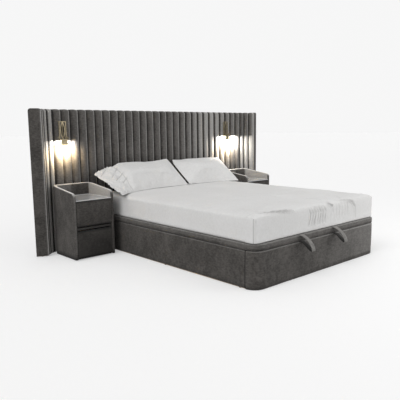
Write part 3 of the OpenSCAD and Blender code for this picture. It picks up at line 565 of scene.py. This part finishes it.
def carried(piece, *moves):
    """Carries a flat section along: straight by (x, y) in so many steps, or round (x, y) by degrees."""
    open_with(piece)
    for kind, x, y, steps, *turn in moves:
        if kind == "go":
            for _ in range(steps):
                bpy.ops.mesh.extrude_region_move(TRANSFORM_OT_translate={"value": (x / steps, y / steps, 0)})
        else:
            bpy.ops.mesh.spin(steps=steps, angle=math.radians(-turn[0]), center=(x, y, 0), axis=(0, 0, 1))
    bpy.ops.mesh.select_all(action="SELECT")
    bpy.ops.mesh.remove_doubles(threshold=1e-5)
    bpy.ops.mesh.normals_make_consistent(inside=False)
    closed()
    return piece


def arc(edge, top, degrees):
    """A rounded edge's section, as (distance inwards, height)."""
    return [(edge - edge * math.cos(a), top - edge + edge * math.sin(a)) for a in map(math.radians, degrees)]


def cover_section(low, inner, steps=8):
    """A cover's section: outer face, rounded edge, and the turn over the rail."""
    edge, thick, lip = 0.010, 0.008, 0.004
    face = [(lip, low), (0.0, low + lip)] + [
        (0.0, low + lip + (base_top - edge - low - lip) * k / steps) for k in range(1, steps + 1)]
    return face + arc(edge, base_top, (22.5, 45, 67.5, 90)) + [
        (inner, base_top), (inner, base_top - thick), (thick, base_top - thick), (thick, low)]


def pushed(piece, push):
    """Moves each vertex along its normal, by a rule from its place."""
    normals = [v.normal.copy() for v in piece.data.vertices]
    for v, normal in zip(piece.data.vertices, normals):
        v.co += normal * push(v.co)


def belly(at):
    """How far a cover stands out between its hem and its upper edge."""
    full = math.sin(math.pi * held(at.z / base_top))
    return 0.0018 * full + 0.0016 * noise.noise(at * 3.1) + 0.0007 * noise.noise(at * 14)


def cover_shading(at, normal):
    """Painted shade at the upright seam and the hem; painted light on the upper edge and across the foot end,
    more to the right.
    """
    light = 0.30 if normal.z > 0.25 else 0.0
    if at.y < foot_y + 0.02:
        light += 0.06 + 0.25 * max(0.0, at.x + 0.3)
    return light - near(at.y, seam_at, 0.004) - 0.7 * near(at.z, 0, 0.014)


covers = []
for side, label in sides:
    cover = outline(f"base_cover_{label}", [
        (side * (base_half - 0.003 - d), seam_at, z) for d, z in cover_section(0.008, 0.030)])
    carried(cover, ("go", 0, 0.004, 1), ("go", 0, 0.006, 1), ("go", 0, head_y - seam_at - 0.010, 40))
    covers.append((cover, f"side_cover_{label}"))
foot = outline("base_cover_foot", [(-base_half + d, seam_at, z) for d, z in cover_section(0.003, 0.033)])
carried(foot, ("turn", -turn_x, seam_at, 14, 90), ("go", 2 * turn_x, 0, 30),
        ("turn", turn_x, seam_at, 14, 90))
covers.append((foot, "foot_cover"))
stitch_w, stitch_deep = 0.009, 0.0028
for piece, node in covers:
    for v in piece.data.vertices:
        away = abs(v.co.y - seam_at)
        if away < stitch_w:
            v.co -= v.normal * stitch_deep * (1 - away / stitch_w) ** 2
    pushed(piece, lambda at: belly(at) if at.z < base_top - 0.004 else 0.0)
    paint_shading(piece, cover_shading)
    smooth(piece, 60)
    fitted(piece, "frame", velvet, [node])

# ---- lid ----
# The board that carries the mattress lifts up. Its rim is padded and wrapped in the same velvet,
# which runs in under the mattress on top and is stapled under the board; a seam goes all round
# just below the upper edge.
lid_low, lid_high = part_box("lid_cover")
low, high = lid_low.z, lid_high.z
rim_edge = 0.009
rim_section = [(0.005, low), (0.0015, low + 0.0015), (0.0, low + 0.006), (0.0, low + 0.020),
               (0.0, high - rim_edge)]
rim_section += arc(rim_edge, high + 0.001, (20, 45, 70, 90))
rim_section += [(0.024, high + 0.001), (0.044, high + 0.0006), (0.044, high), (0.010, high),
                (0.010, low + 0.004), (0.026, low + 0.004), (0.026, low)]
rim = outline("lid_rim", [(-base_half + d, head_y, z) for d, z in rim_section])
carried(rim, ("go", 0, seam_at - head_y, 44), ("turn", -turn_x, seam_at, 14, 90), ("go", 2 * turn_x, 0, 30),
        ("turn", turn_x, seam_at, 14, 90), ("go", 0, head_y - seam_at, 44))
end = outline("lid_end", [(-base_half + 0.02, head_y - d, z) for d, z in rim_section])
carried(end, ("go", 2 * base_half - 0.04, 0, 30))
for piece in (rim, end):
    pushed(piece, lambda at: 0.0010 * noise.noise(at * 4.0) + 0.0006 * noise.noise(at * 17)
           if lid_low.z + 0.004 < at.z < lid_high.z - 0.001 else 0.0)
    smooth(piece, 60)
rim = joined("lid_rim", [rim, end])
# Painted light on the rim: paler on top, overall and towards the right, with painted shade along its lower
# edge at the gap below it.
paint_shading(rim, lambda at, normal: 0.22 * max(0.0, normal.z) ** 2 + 0.19 + 0.10 * max(0.0, at.x)
      - 1.1 * near(at.z, lid_low.z, 0.0055))
fitted(rim, "lid", velvet, ["lid_cover"])

# ---- pull straps ----
# Two doubled bands of the velvet, 47 mm wide and sewn along both edges. Each is stitched flat to
# the top of the lid, bows out over its edge, and comes back under it.
strap_w, strap_t = 0.047, 0.0024
half, thick = strap_w / 2, strap_t / 2
edge_section = [(-half, 0), (-half + 0.003, 0.9), (-half + 0.0045, 0.45), (-half + 0.007, 1.0), (0, 1.1)]
edge_section += [(-x, t) for x, t in edge_section[-2::-1]]
edge_section += [(x, -t) for x, t in edge_section[-2:0:-1]]
ring, tip_row = len(edge_section), 24


def curve(a, b, c, d, steps):
    """Places along a curve from a to d, drawn towards b and c."""
    return [[(1 - t) ** 3 * p + 3 * (1 - t) ** 2 * t * q + 3 * (1 - t) * t * t * r + t ** 3 * s
             for p, q, r, s in zip(a, b, c, d)] for t in [k / steps for k in range(steps + 1)]]


for side, label in sides:
    low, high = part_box(f"pull_strap_{label}")
    middle = (low.x + high.x) / 2
    up, down = (foot_y, lid_high.z + 0.0014), (foot_y, lid_low.z - 0.0014)
    tip, fold = (low.y + 0.0012, low.z + 0.008), (low.y + 0.0077, low.z + 0.0012)
    line = [(foot_y + 0.023, up[1])]
    line += curve(up, (foot_y - 0.046, up[1]), (tip[0] + 0.004, tip[1] + 0.042), tip, 16)
    line += curve(tip, (tip[0], tip[1] - 0.005), (fold[0] - 0.004, fold[1]), fold, 8)[1:]
    line += curve(fold, (fold[0] + 0.024, fold[1]), (foot_y - 0.046, down[1] - 0.004), down, 16)[1:]
    line += [(foot_y + 0.023, down[1])]
    skin = []
    for k, (y, z) in enumerate(line):
        a, b = Vector(line[max(0, k - 1)]), Vector(line[min(len(line) - 1, k + 1)])
        normal = Vector((-(b - a).y, (b - a).x)).normalized() * thick
        skin += [(middle + x, y + normal.x * t, z + normal.y * t) for x, t in edge_section]
    band = outline(f"strap_{label}", skin[:ring])
    open_with(band)
    for k in range(1, len(line)):
        bpy.ops.mesh.extrude_region_move(TRANSFORM_OT_translate={"value": (0, 0, 0)})
    closed()
    for v, point in zip(band.data.vertices, skin):
        v.co = point
    faces_out(band)
    # Painted light on the outer face of the band up to the fold, and painted shade on the rest, the inside of
    # the loop.
    paint_shading(band, [0.40 if i // ring < tip_row and (i % ring == 0 or i % ring > ring / 2 - 1) else -0.8
                 for i in range(len(skin))])
    smooth(band, 60)
    fitted(band, "lid", velvet, [f"pull_strap_{label}"])

# ---- lift ----
# On each side two flat steel arms make a four-bar lift, with a gas strut that pushes a lug of the
# rear arm. Plates and arms are zinc-plated, the strut's cylinder is painted black, its rod chromed.
give(zinc, "lid_brackets")
paint, shader, place = new_material("black_paint")
peel = place.cloudy(260.0, 2.0)
finish(place, shader, peel.tint((0.010, 0.010, 0.011), (0.022, 0.022, 0.024)), 0.28 + peel * 0.12,
       peel, 0.0003, 0.3, Coat_Roughness=0.15)
chrome, shader, place = new_material("chrome")
streak = place.stretched(1, 1, 0.2).cloudy(300.0)
finish(place, shader, streak.tint((0.60, 0.61, 0.63), (0.78, 0.79, 0.80)), 0.07 + streak * 0.08,
       streak, 0.0001, 0.2, Metallic=1.0)
for side, label in sides:
    give(zinc, f"lift_bracket_{label}", f"rear_arm_{label}", f"front_arm_{label}")
    give(paint, f"gas_cylinder_{label}")
    give(chrome, f"gas_rod_{label}")

# ---- mattress ----
# A pocket-sprung mattress under a white cotton fitted sheet: soft rounded edges, an upright seam
# at each corner, fine creases on top where the sheet is laid, and more at the middle of the foot
# end, where the elastic draws it down. Shade is painted into the cloth: 0 is none, -1 full.
matt_low, matt_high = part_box("mattress")
cotton, shader, place = new_material("white_cotton")
x, y, z = [(axis * 5200.0).maths("SINE", axis * 5200.0) for axis in place.axes()]
weave = x * y + y * z + z * x
slub = place.cloudy(55.0, 4.0, 0.6)
painted_shading = place.node("ShaderNodeAttribute", {"attribute_name": "painted_shading"}, {}, 2)
white = (slub * 0.6 + place.cloudy(3.0) * 0.5).limited(0.25, 0.85).tint(
    (0.70, 0.695, 0.685), (0.79, 0.787, 0.782))
# The white, darkened by painted shade from the mesh's value.
finish(place, shader, painted_shading.limited(0.0, -1.0).tint(white, (0.30, 0.295, 0.285)), 0.86 + slub * 0.08,
       weave * 0.25 + slub, 0.0004, 0.35, Sheen_Weight=0.12, Sheen_Roughness=0.5)
sheet_corner, sheet_edge = 0.042, 0.034
foot_face = matt_low.y
half_w, half_l = (matt_high.x - matt_low.x) / 2, (matt_high.y - matt_low.y) / 2
mid_y = (matt_high.y + matt_low.y) / 2


def modified(piece, kind, **settings):
    """Adds a modifier and applies it."""
    picked(piece)
    made = piece.modifiers.new(kind.lower(), kind)
    for name, value in settings.items():
        setattr(made, name, value)
    bpy.ops.object.modifier_apply(modifier=made.name)


bed = block("mattress_in_sheet", matt_low, matt_high)
rounded(bed, "EDGE", sheet_corner, 6, lambda a, b: abs(a.z - b.z) > 0.1)
rounded(bed, "FACE", sheet_edge, 6, lambda centre, normal: normal.z > 0.9)
rounded(bed, "FACE", 0.004, 2, lambda centre, normal: normal.z < -0.9)
modified(bed, "REMESH", mode="VOXEL", voxel_size=0.011)
modified(bed, "SMOOTH", factor=0.5, iterations=4)
open_with(bed, "FACE", lambda centre, normal: centre.y < -0.93 and centre.z > matt_low.z + 0.01)
bpy.ops.mesh.subdivide(number_cuts=1)
closed()

# Each crease is how deep it is, and the places it runs through: x, y, and how far below the top.
# The long ones lie where the sheet was laid; the short ones at the foot end are drawn by elastic.
creases = [
    (1.5, (-0.79, -0.93, 0.004), (-0.70, -0.972, 0), (-0.58, -0.992, 0.002), (-0.46, -1.006, 0.010),
     (-0.36, -1.012, 0.022)),
    (0.8, (-0.138, -0.306, 0), (0.032, -0.42, 0), (-0.044, -0.68, 0)),
    (0.9, (0.046, -0.775, 0), (0.127, -0.861, 0), (0.121, -0.924, 0)),
    (0.9, (0.368, -0.816, 0), (0.404, -0.883, 0), (0.349, -0.963, 0)),
    (1.2, (0.02, -0.975, 0), (0.10, -1.01, 0.016), (0.144, foot_face, 0.043), (0.146, foot_face, 0.096)),
    (1.1, (0.20, -0.975, 0), (0.31, -1.0, 0.006), (0.44, foot_face, 0.034), (0.483, foot_face, 0.08),
     (0.496, foot_face, 0.186)),
]
for k in range(7):
    x = -0.17 + 0.034 * k
    gathered = ((x - 0.012, 0.024), (x + 0.014, 0.071), (x + 0.004, 0.116), (x - 0.016 + 0.004 * k, 0.171))
    creases.append((0.9 if k % 2 else 1.2, *[(at, foot_face, down) for at, down in gathered]))
for k in range(5):
    x = 0.20 + 0.042 * k
    gathered = ((x - 0.01, 0.031), (x + 0.006, 0.081), (x - 0.004, 0.146))
    creases.append((0.6, *[(at, foot_face, down) for at, down in gathered]))


def nearest(at, points):
    """How far a place is from a line of points, and how far along the line, from 0 to 1."""
    best, along, last = 1.0, 0.0, len(points) - 1
    for k in range(last):
        run = points[k + 1] - points[k]
        share = held((at - points[k]).dot(run) / run.length_squared)
        away = (at - points[k] - run * share).length
        if away < best:
            best, along = away, (k + share) / last
    return best, along


crown_deep, crown_w = 0.020, 0.16
crease_deep, crease_reach = 0.0055, 0.03
shadow = {}
foot_half = [v for v in bed.data.vertices if v.co.y < -0.2 and v.co.z > matt_low.z + 0.02]
for strength, *points in creases:
    points = [Vector((x, y, matt_high.z - down)) for x, y, down in points]
    low = [min(point[k] for point in points) - crease_reach for k in range(3)]
    high = [max(point[k] for point in points) + crease_reach for k in range(3)]
    for v in foot_half:
        if all(low[k] < v.co[k] < high[k] for k in range(3)):
            away, along = nearest(v.co, points)
            if away < crease_reach:
                deep = strength * math.sin(math.pi * (0.06 + 0.88 * along)) ** 0.7
                ridge, valley = near(away, 0.013, 0.007), near(away, 0, 0.007)
                v.co += v.normal * deep * crease_deep * (ridge - 1.2 * valley)
                shadow[v.index] = min(shadow.get(v.index, 0.0), -0.38 * deep * near(away, 0, 0.006))
normals = [v.normal.copy() for v in bed.data.vertices]
for v, normal in zip(bed.data.vertices, normals):
    inside = min(half_w - abs(v.co.x), half_l - abs(v.co.y - mid_y))
    if normal.z > 0.3:
        v.co.z -= crown_deep * (1 - min(1.0, inside / crown_w)) ** 2 * normal.z
        v.co.z += 0.0022 * noise.noise(Vector((v.co.x * 2.2, v.co.y * 1.6, 3)))
        turned = 0.5 * noise.noise(Vector((v.co.x * 0.9, v.co.y * 0.9, 11)))
        crease = noise.noise(Vector(((v.co.y + turned) * 11, (v.co.x + turned) * 1.3, 7)))
        v.co.z += 0.0050 * max(0.0, 1 - abs(crease) / 0.14) ** 2 * min(1.0, inside / 0.08) * (
            1.0 if v.co.y < mid_y - 0.2 else 0.35)
    elif abs(normal.z) < 0.5:
        at_foot = v.co.y < mid_y - half_l + 0.1
        up = (v.co.z - matt_low.z) / (matt_high.z - matt_low.z)
        along = v.co.x if at_foot or v.co.y > mid_y + half_l - 0.1 else v.co.y
        ripple = noise.noise(Vector((along * 26, v.co.z * 2.2, 1.5)))
        fine = noise.noise(Vector((along * 60, v.co.z * 3.0, 9.5)))
        gather = 0.35 + (0.7 * near(v.co.x, 0.14, 0.26) if at_foot else 0.0)
        drawn = 0.35 + 0.65 * (1 - abs(2 * up - 1.1))
        v.co += normal * (ripple * 0.0060 + fine * 0.0030) * gather * max(0.2, drawn)
        v.co += normal * 0.0016 * noise.noise(v.co * 2.5)
        v.co += normal * (0.003 * math.sin(math.pi * held(up)) + 0.009 * max(0.0, 1 - up / 0.45) ** 2)
paint_shading(bed, [shadow.get(v.index, 0.0) for v in bed.data.vertices])
# Painted shade in two lines either side of the upright seam at each corner.
for v, painted_shading in painted_points(bed):
    in_x, in_y = half_w - abs(v.co.x), half_l - abs(v.co.y - mid_y)
    if max(in_x, in_y) < sheet_corner and v.co.z < matt_high.z - 0.03:
        painted_shading.value -= 0.6 * near(in_x - in_y, -0.012, 0.006) + 0.25 * near(in_x - in_y, 0.012, 0.006)
smooth(bed, 70)
fitted(bed, "lid", cotton, ["mattress"])

seam_r = 0.0032
seam_low = matt_low.z + 0.012
seam_step = (matt_high.z - sheet_edge - seam_low) / 14
for sx, label in sides:
    for sy, end in ((-1, "foot"), (1, "head")):
        r = sheet_corner * (1 - math.sqrt(0.5))
        x, y = sx * (half_w - r), mid_y + sy * (half_l - r)
        seam = outline(f"sheet_seam_{end}_{label}", [
            (x + seam_r * math.cos(a), y + seam_r * math.sin(a), seam_low)
            for a in [math.tau * k / 8 for k in range(8)]])
        open_with(seam)
        for k in range(14):
            bpy.ops.mesh.extrude_region_move(TRANSFORM_OT_translate={"value": (0, 0, seam_step)})
        closed()
        faces_out(seam)
        outwards = Vector((sx, sy, 0)).normalized()
        for v in seam.data.vertices:
            up = (v.co.z - matt_low.z) / (matt_high.z - matt_low.z)
            v.co += outwards * (0.002 * math.sin(math.pi * up) + 0.0008 * noise.noise(v.co * 20))
        smooth(seam, 60)
        fitted(seam, "lid", cotton)

# ---- pillows ----
# Two down pillows in white cases lean on the headboard, with their lower edges on the mattress.
# Each is blown up by a cloth simulation from two flat layers sewn together at the edge, and then
# laid at its slope; the left one's case is longer than its pillow and ends in a hemmed, open flap.
pillow_rest = matt_high.z + 0.0003
pillow_upper_y = seam_y - 0.072
pillow_rise, pillow_depth, pillow_half, pillow_wide = 0.264, 0.250, 0.072, 0.40
most_drawn_in = 0.014
flap_hem = 0.009
# Folds of the flap: each from one place to another, as shares of the flap's length and height.
flap_folds = [(1.12, 0.86, 0.54, 0.62), (1.05, 0.60, 0.50, 0.47), (1.05, 0.42, 0.75, 0.36),
              (0.55, 0.90, 0.15, 0.80)]


def stuffed(name, long, wide, seed):
    """Two flat layers sewn together and blown up; their edges may draw in only so far."""
    bpy.ops.object.select_all(action="DESELECT")
    bpy.ops.mesh.primitive_grid_add(x_subdivisions=84, y_subdivisions=40, size=1)
    case = bpy.context.object
    case.name = name
    for v in case.data.vertices:
        v.co = Vector((v.co.x * long, v.co.y * wide, 0.0))
        v.co.z = 0.002 * noise.noise(v.co * 9 + Vector((seed, 0, 0)))
    modified(case, "SOLIDIFY", thickness=0.010, offset=0)
    flat = [v.co.copy() for v in case.data.vertices]
    made = case.modifiers.new("cloth", "CLOTH")
    settings = made.settings
    settings.quality = 6
    settings.use_pressure = True
    settings.uniform_pressure_force = 4.0
    settings.tension_stiffness = settings.compression_stiffness = 10
    settings.bending_stiffness = 0.2
    settings.effector_weights.gravity = 0
    made.collision_settings.use_collision = False
    for k in range(1, 26):
        scene.frame_set(k)
    picked(case)
    bpy.ops.object.modifier_apply(modifier="cloth")
    scene.frame_set(1)
    for v, start in zip(case.data.vertices, flat):
        pull = Vector((v.co.x - start.x, v.co.y - start.y))
        if pull.length > most_drawn_in:
            pull *= most_drawn_in / pull.length
        v.co.x, v.co.y = start.x + pull.x, start.y + pull.y
    modified(case, "SUBSURF", levels=1, render_levels=1)
    return case


# Each pillow: the x of its inner and its outer end, at the lower and the upper edge; how far the
# outer end comes forward, its upper corner droops and its upper edge sags; and its flap's length.
for label, inner, outer, forward, droop, sag, flap in (
        ("left", (0.126, 0.026), (-0.872, -0.880), 0.240, 0.085, 0.012, 0.235),
        ("right", (0.131, 0.096), (0.796, 0.810), 0.110, 0.018, 0.003, 0.0)):
    long = abs(outer[0] - inner[0])
    case = stuffed(f"pillow_in_case_{label}", long, pillow_wide, 3.0 if label == "left" else 8.0)
    verts = case.data.vertices
    thick = sorted(abs(v.co.z) for v in verts)[int(len(verts) * 0.98)]
    shade = []
    for v in verts:
        share = held(0.5 + v.co.x / long * (1 if outer[0] > 0 else -1))
        w = held(2 * v.co.y / pillow_wide, -1.0)
        up = (1 + w) / 2
        plump = v.co.z / thick * pillow_half
        from_end = (1 - share) * long
        slack = held((flap - from_end) / flap) if flap else 0.0
        dark = 0.0
        if flap:
            plump *= 1 - 0.86 * held((flap + 0.05 - from_end) / 0.09)
            diagonal = (from_end + 0.55 * w * pillow_wide / 2) * 30
            fold = max(0.0, 1 - abs(noise.noise(Vector((diagonal, w * 1.2, 2.0)))) / 0.22) ** 1.5
            plump += 0.016 * fold * min(1.0, slack * 4)
            plump += 0.010 * noise.noise(Vector((from_end * 14, w * 3.1, 4.0))) * min(1.0, slack * 3)
            # Painted shade along the hem and in each fold of the flap.
            hem = abs(from_end - flap - 0.012 * w)
            plump -= math.copysign(0.006 * max(0.0, 1 - hem / flap_hem), plump)
            dark = -0.55 * near(hem, 0, 0.004)
            for s0, t0, s1, t1 in flap_folds:
                ends = [Vector((s * flap, t * pillow_wide, 0)) for s, t in ((s0, t0), (s1, t1))]
                away = nearest(Vector((from_end, up * pillow_wide, 0)), ends)[0]
                plump -= math.copysign(0.008 * near(away, 0, 0.009), plump)
                dark = min(dark, -0.50 * near(away, 0, 0.0065))
        else:
            plump += 0.008 * (near(share, 0.32, 0.10) - near(share, 0.12, 0.10))
        shade.append(dark if plump > 0 else 0.0)
        plump += math.copysign(1, plump) * 0.0035 * noise.noise(Vector((share * 13, w * 4.2, 5 + inner[0])))
        full = min(1.0, (1 - abs(w)) * 5) * min(1.0, 12 * share * (1 - share))
        skew = share * long + 0.10 * w
        plump += math.copysign(full, plump) * (0.0045 * noise.noise(Vector((skew * 22, w * 3.0, 1.0)))
                                               + 0.0022 * noise.noise(Vector((skew * 55, w * 9.0, 2.0))))
        depth = pillow_depth + forward * share ** 3
        rise = pillow_rise - droop * share ** 10 - sag * near(share, 0.28, 0.15)
        rise -= 0.028 * held((share - 0.69) / 0.07) if flap else 0.0
        slope = math.atan2(rise, depth)
        settle = held((-0.76 - w) / 0.16) if plump > 0 else 0.0
        settle *= 0.88 * settle * (3 - 2 * settle)
        lift = 0.0015 * (1 - up) * (1 - slack) + 0.012 * up * (1 - share) * (flap > 0)
        bulge = up * (1 - up ** 8) * (1 - share) ** 4 * (0.014 if flap else -0.046)
        low_x, high_x = [a + (b - a) * share for a, b in zip(inner, outer)]
        y = pillow_upper_y - depth * (1 - up) - plump * math.sin(slope)
        z = pillow_rest + lift + (rise * up + plump * math.cos(slope)) * (1 - settle)
        v.co = (low_x + (high_x - low_x) * up + bulge, min(y, channels_low.y - 0.003),
                max(z, pillow_rest + 0.0002))
    paint_shading(case, shade)
    smooth(case, 80)
    fitted(case, "pillows", cotton, [f"pillow_{label}"])

# ---- nightstands ----
# Each has a U-shaped upholstered shell, 25 mm thick, whose top slopes down to a rounded front
# corner. Inside is a board carcass with two drawers and a sunk lacquered tray on top.
stand_low, stand_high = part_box("stand_shell_right")
stand_x = (stand_low.x + stand_high.x) / 2
stand_half = (stand_high.x - stand_low.x) / 2
shell_t, shell_r, shell_front_r, shell_lip = 0.025, 0.055, 0.035, 0.004
shell_front_z = 0.589
base_line = 0.40
slope = (stand_high.z - shell_front_z) / (stand_high.y - stand_low.y)
laminate, shader, place = new_material("dark_laminate")
grain = place.stretched(0.2, 1, 1).cloudy(120.0, 3.0)
finish(place, shader, grain.tint((0.035, 0.032, 0.030), (0.070, 0.065, 0.061)), 0.5 + grain * 0.2,
       grain, 0.0003, 0.3)
lacquer, shader, place = new_material("grey_lacquer")
haze = place.cloudy(9.0, 3.0)
finish(place, shader, haze.tint((0.58, 0.58, 0.576), (0.71, 0.71, 0.705)), 0.10 + haze * 0.08,
       place.cloudy(500.0), 0.0001, 0.1, Coat_Weight=0.6, Coat_Roughness=0.05)


def bevelled(node, width):
    """Softens the sharp edges of a node of the solid model."""
    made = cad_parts[node]
    made.modifiers.new("weld", "WELD")
    edges = made.modifiers.new("bevel", "BEVEL")
    edges.width, edges.segments, edges.limit_method = width, 2, "ANGLE"


def shell_section():
    """The shell wall's section, as (distance inwards, height), with rounded upper edges."""
    edge, top = 0.007, stand_high.z
    outer = [(0.0, stand_low.z + (top - edge - stand_low.z) * k / 12) for k in range(13)]
    outer += arc(edge, top, (30, 60, 90))
    return outer + [(shell_t - d, z) for d, z in reversed(outer)]


def shell_shading(at, normal):
    """Painted highlights on the rims, the left wall's front edge and inside the right wall; painted shade at
    the hem.
    """
    light = 0.30 * max(0.0, -normal.y) ** 2 if at.x < centre else 0.0
    if at.z < base_line:
        return light - 1.2 * near(at.z, 0, 0.022)
    if normal.x < -0.6 and at.x > centre and at.y > stand_low.y + 0.012:
        light += 0.72
    return light + 1.9 * max(0.0, normal.z) ** 2


wall_run = stand_high.y - shell_r - stand_low.y - shell_front_r
for side, label in sides:
    give(laminate, f"carcass_{label}")
    give(lacquer, f"tray_{label}")
    bevelled(f"tray_{label}", 0.0012)
    centre = side * stand_x
    shell = outline(f"stand_cover_{label}", [
        (centre - stand_half + d, stand_low.y, z) for d, z in shell_section()])
    carried(shell, ("go", 0, shell_lip, 1), ("go", 0, shell_front_r - shell_lip, 9), ("go", 0, wall_run, 12),
            ("turn", centre - stand_half + shell_r, stand_high.y - shell_r, 8, -90),
            ("go", 2 * stand_half - 2 * shell_r, 0, 12),
            ("turn", centre + stand_half - shell_r, stand_high.y - shell_r, 8, -90),
            ("go", 0, -wall_run, 12), ("go", 0, shell_lip - shell_front_r, 9), ("go", 0, -shell_lip, 1))
    for v in shell.data.vertices:
        back_by = v.co.y - stand_low.y
        top = stand_high.z - slope * (stand_high.y - v.co.y)
        if back_by < shell_front_r:
            top -= shell_front_r - math.sqrt(max(0.0, shell_front_r ** 2 - (shell_front_r - back_by) ** 2))
        if v.co.z > base_line:
            v.co.z = base_line + (v.co.z - base_line) * (top - base_line) / (stand_high.z - base_line)
        if back_by < shell_lip + 0.0005:
            middle = centre + (stand_half - shell_t / 2) * (1 if v.co.x > centre else -1)
            v.co.x = middle + (v.co.x - middle) * (0.55 if back_by < 0.001 else 0.93)
    pushed(shell, lambda at: 0.0008 * noise.noise(at * 6.0) + 0.0005 * noise.noise(at * 19))
    paint_shading(shell, shell_shading)
    smooth(shell, 60)
    fitted(shell, "frame", velvet, [f"stand_shell_{label}"])

# ---- drawers ----
# Two drawers on steel runners: plywood boxes behind velvet-wrapped fronts, which are opened by the
# groove between them.
drawer_wood = timber("birch_ply", (0.66, 0.52, 0.36), (0.50, 0.37, 0.23), 1, 30.0)
for side, label in sides:
    give(zinc, f"runners_{label}")
    for level in ("upper", "lower"):
        give(drawer_wood, f"{level}_box_{label}")
        low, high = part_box(f"{level}_front_{label}")
        high.z -= 0.005 if level == "upper" else 0
        front = block(f"{level}_drawer_face_{label}", low, high)
        rounded(front, "EDGE", 0.006, 3, lambda a, b: abs(a.y - b.y) > 0.01)
        rounded(front, "FACE", 0.005, 3, lambda centre, normal: normal.y < -0.9)
        cut_across(front, 0, [low.x + (high.x - low.x) * k / 14 for k in range(1, 14)])
        cut_across(front, 2, [low.z + (high.z - low.z) * k / 10 for k in range(1, 10)])
        for v in front.data.vertices:
            if v.co.y < low.y + 0.004:
                across = 1 - abs(2 * (v.co.x - low.x) / (high.x - low.x) - 1) ** 6
                up = 1 - abs(2 * (v.co.z - low.z) / (high.z - low.z) - 1) ** 6
                v.co.y -= 0.0016 * across * up + 0.0008 * noise.noise(v.co * 9)
        # Painted shade: darker towards the bottom, and in the gaps at the lower and upper edges.
        paint_shading(front, lambda at, normal: -0.10 - 1.0 * (0.5 - at.z) - 0.7 * near(at.z, low.z, 0.006)
              - 0.6 * near(at.z, high.z, 0.007))
        smooth(front, 50)
        fitted(front, f"{level}_drawer_{label}", velvet, [f"{level}_front_{label}"])

# ---- wall lights ----
# Brushed brass lights screwed to the headboard through a boss: an open frame with a pointed loop
# and a thin bar in it, over a block with a warm diffuser underneath, and a ball-shaped dimmer knob.
brass, shader, place = new_material("brushed_brass")
brushing = place.stretched(1, 1, 0.08).cloudy(520.0, 2.0)
tarnish = place.cloudy(45.0, 3.0)
worn = (brushing * 0.4 + tarnish * 0.6).limited(0.2, 0.8)
finish(place, shader, worn.tint((0.14, 0.118, 0.078), (0.32, 0.272, 0.180)), 0.26 + brushing * 0.22,
       brushing, 0.0002, 0.4, Metallic=1.0)
diffuser, shader, place = new_material("warm_diffuser")
frost = place.cloudy(200.0)
finish(place, shader, frost.tint((0.90, 0.80, 0.62), (0.95, 0.87, 0.70)), 0.4 + frost * 0.2,
       frost, 0.0001, 0.2, Emission_Color=(1.0, 0.80, 0.52, 1), Emission_Strength=6.0)
block_h = 0.048


def lit(name, at, size, energy, colour, gone):
    """A small lamp that shines down; it fades slowly with the distance, and is gone at the last."""
    bpy.ops.object.light_add(type="AREA", location=at)
    lamp = bpy.context.object
    lamp.name = name
    lamp.data.shape = "RECTANGLE"
    lamp.data.size, lamp.data.size_y = size
    lamp.data.energy, lamp.data.color = energy, colour
    lamp.data.use_nodes = True
    tree = lamp.data.node_tree
    away = Shade(tree, tree.nodes.new("ShaderNodeLightFalloff").outputs["Linear"])
    away.socket.node.inputs["Strength"].default_value = 1.0
    glow = (0.17 / away).maths("MINIMUM", 0.17 / away, 1.8) * away.limited(gone, gone * 0.35)
    tree.links.new(glow.socket, tree.nodes["Emission"].inputs["Strength"])


# In each block a long white lamp lights the headboard to both sides, and a warm one shines down.
for label, bar_energy, bar_long, bar_shift in (("left", 4.2, 0.160, 0.0), ("right", 24.0, 0.240, 0.045)):
    give(brass, f"lamp_frame_{label}", f"lamp_knob_{label}")
    give(diffuser, f"lamp_light_{label}")
    bevelled(f"lamp_frame_{label}", 0.0009)
    low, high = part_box(f"lamp_light_{label}")
    x, y = (low.x + high.x) / 2, (low.y + high.y) / 2
    bar_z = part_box(f"lamp_frame_{label}")[0].z + block_h - 0.006
    lit(f"lamp_glow_bar_{label}", (x + bar_shift, y - 0.003, bar_z), (bar_long, 0.014),
        bar_energy, (1.0, 0.94, 0.86), 0.56)
    lit(f"lamp_glow_spot_{label}", (x, y - 0.018, low.z - 0.004), (0.120, 0.036),
        6.0, (1.0, 0.76, 0.46), 0.42)


low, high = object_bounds()
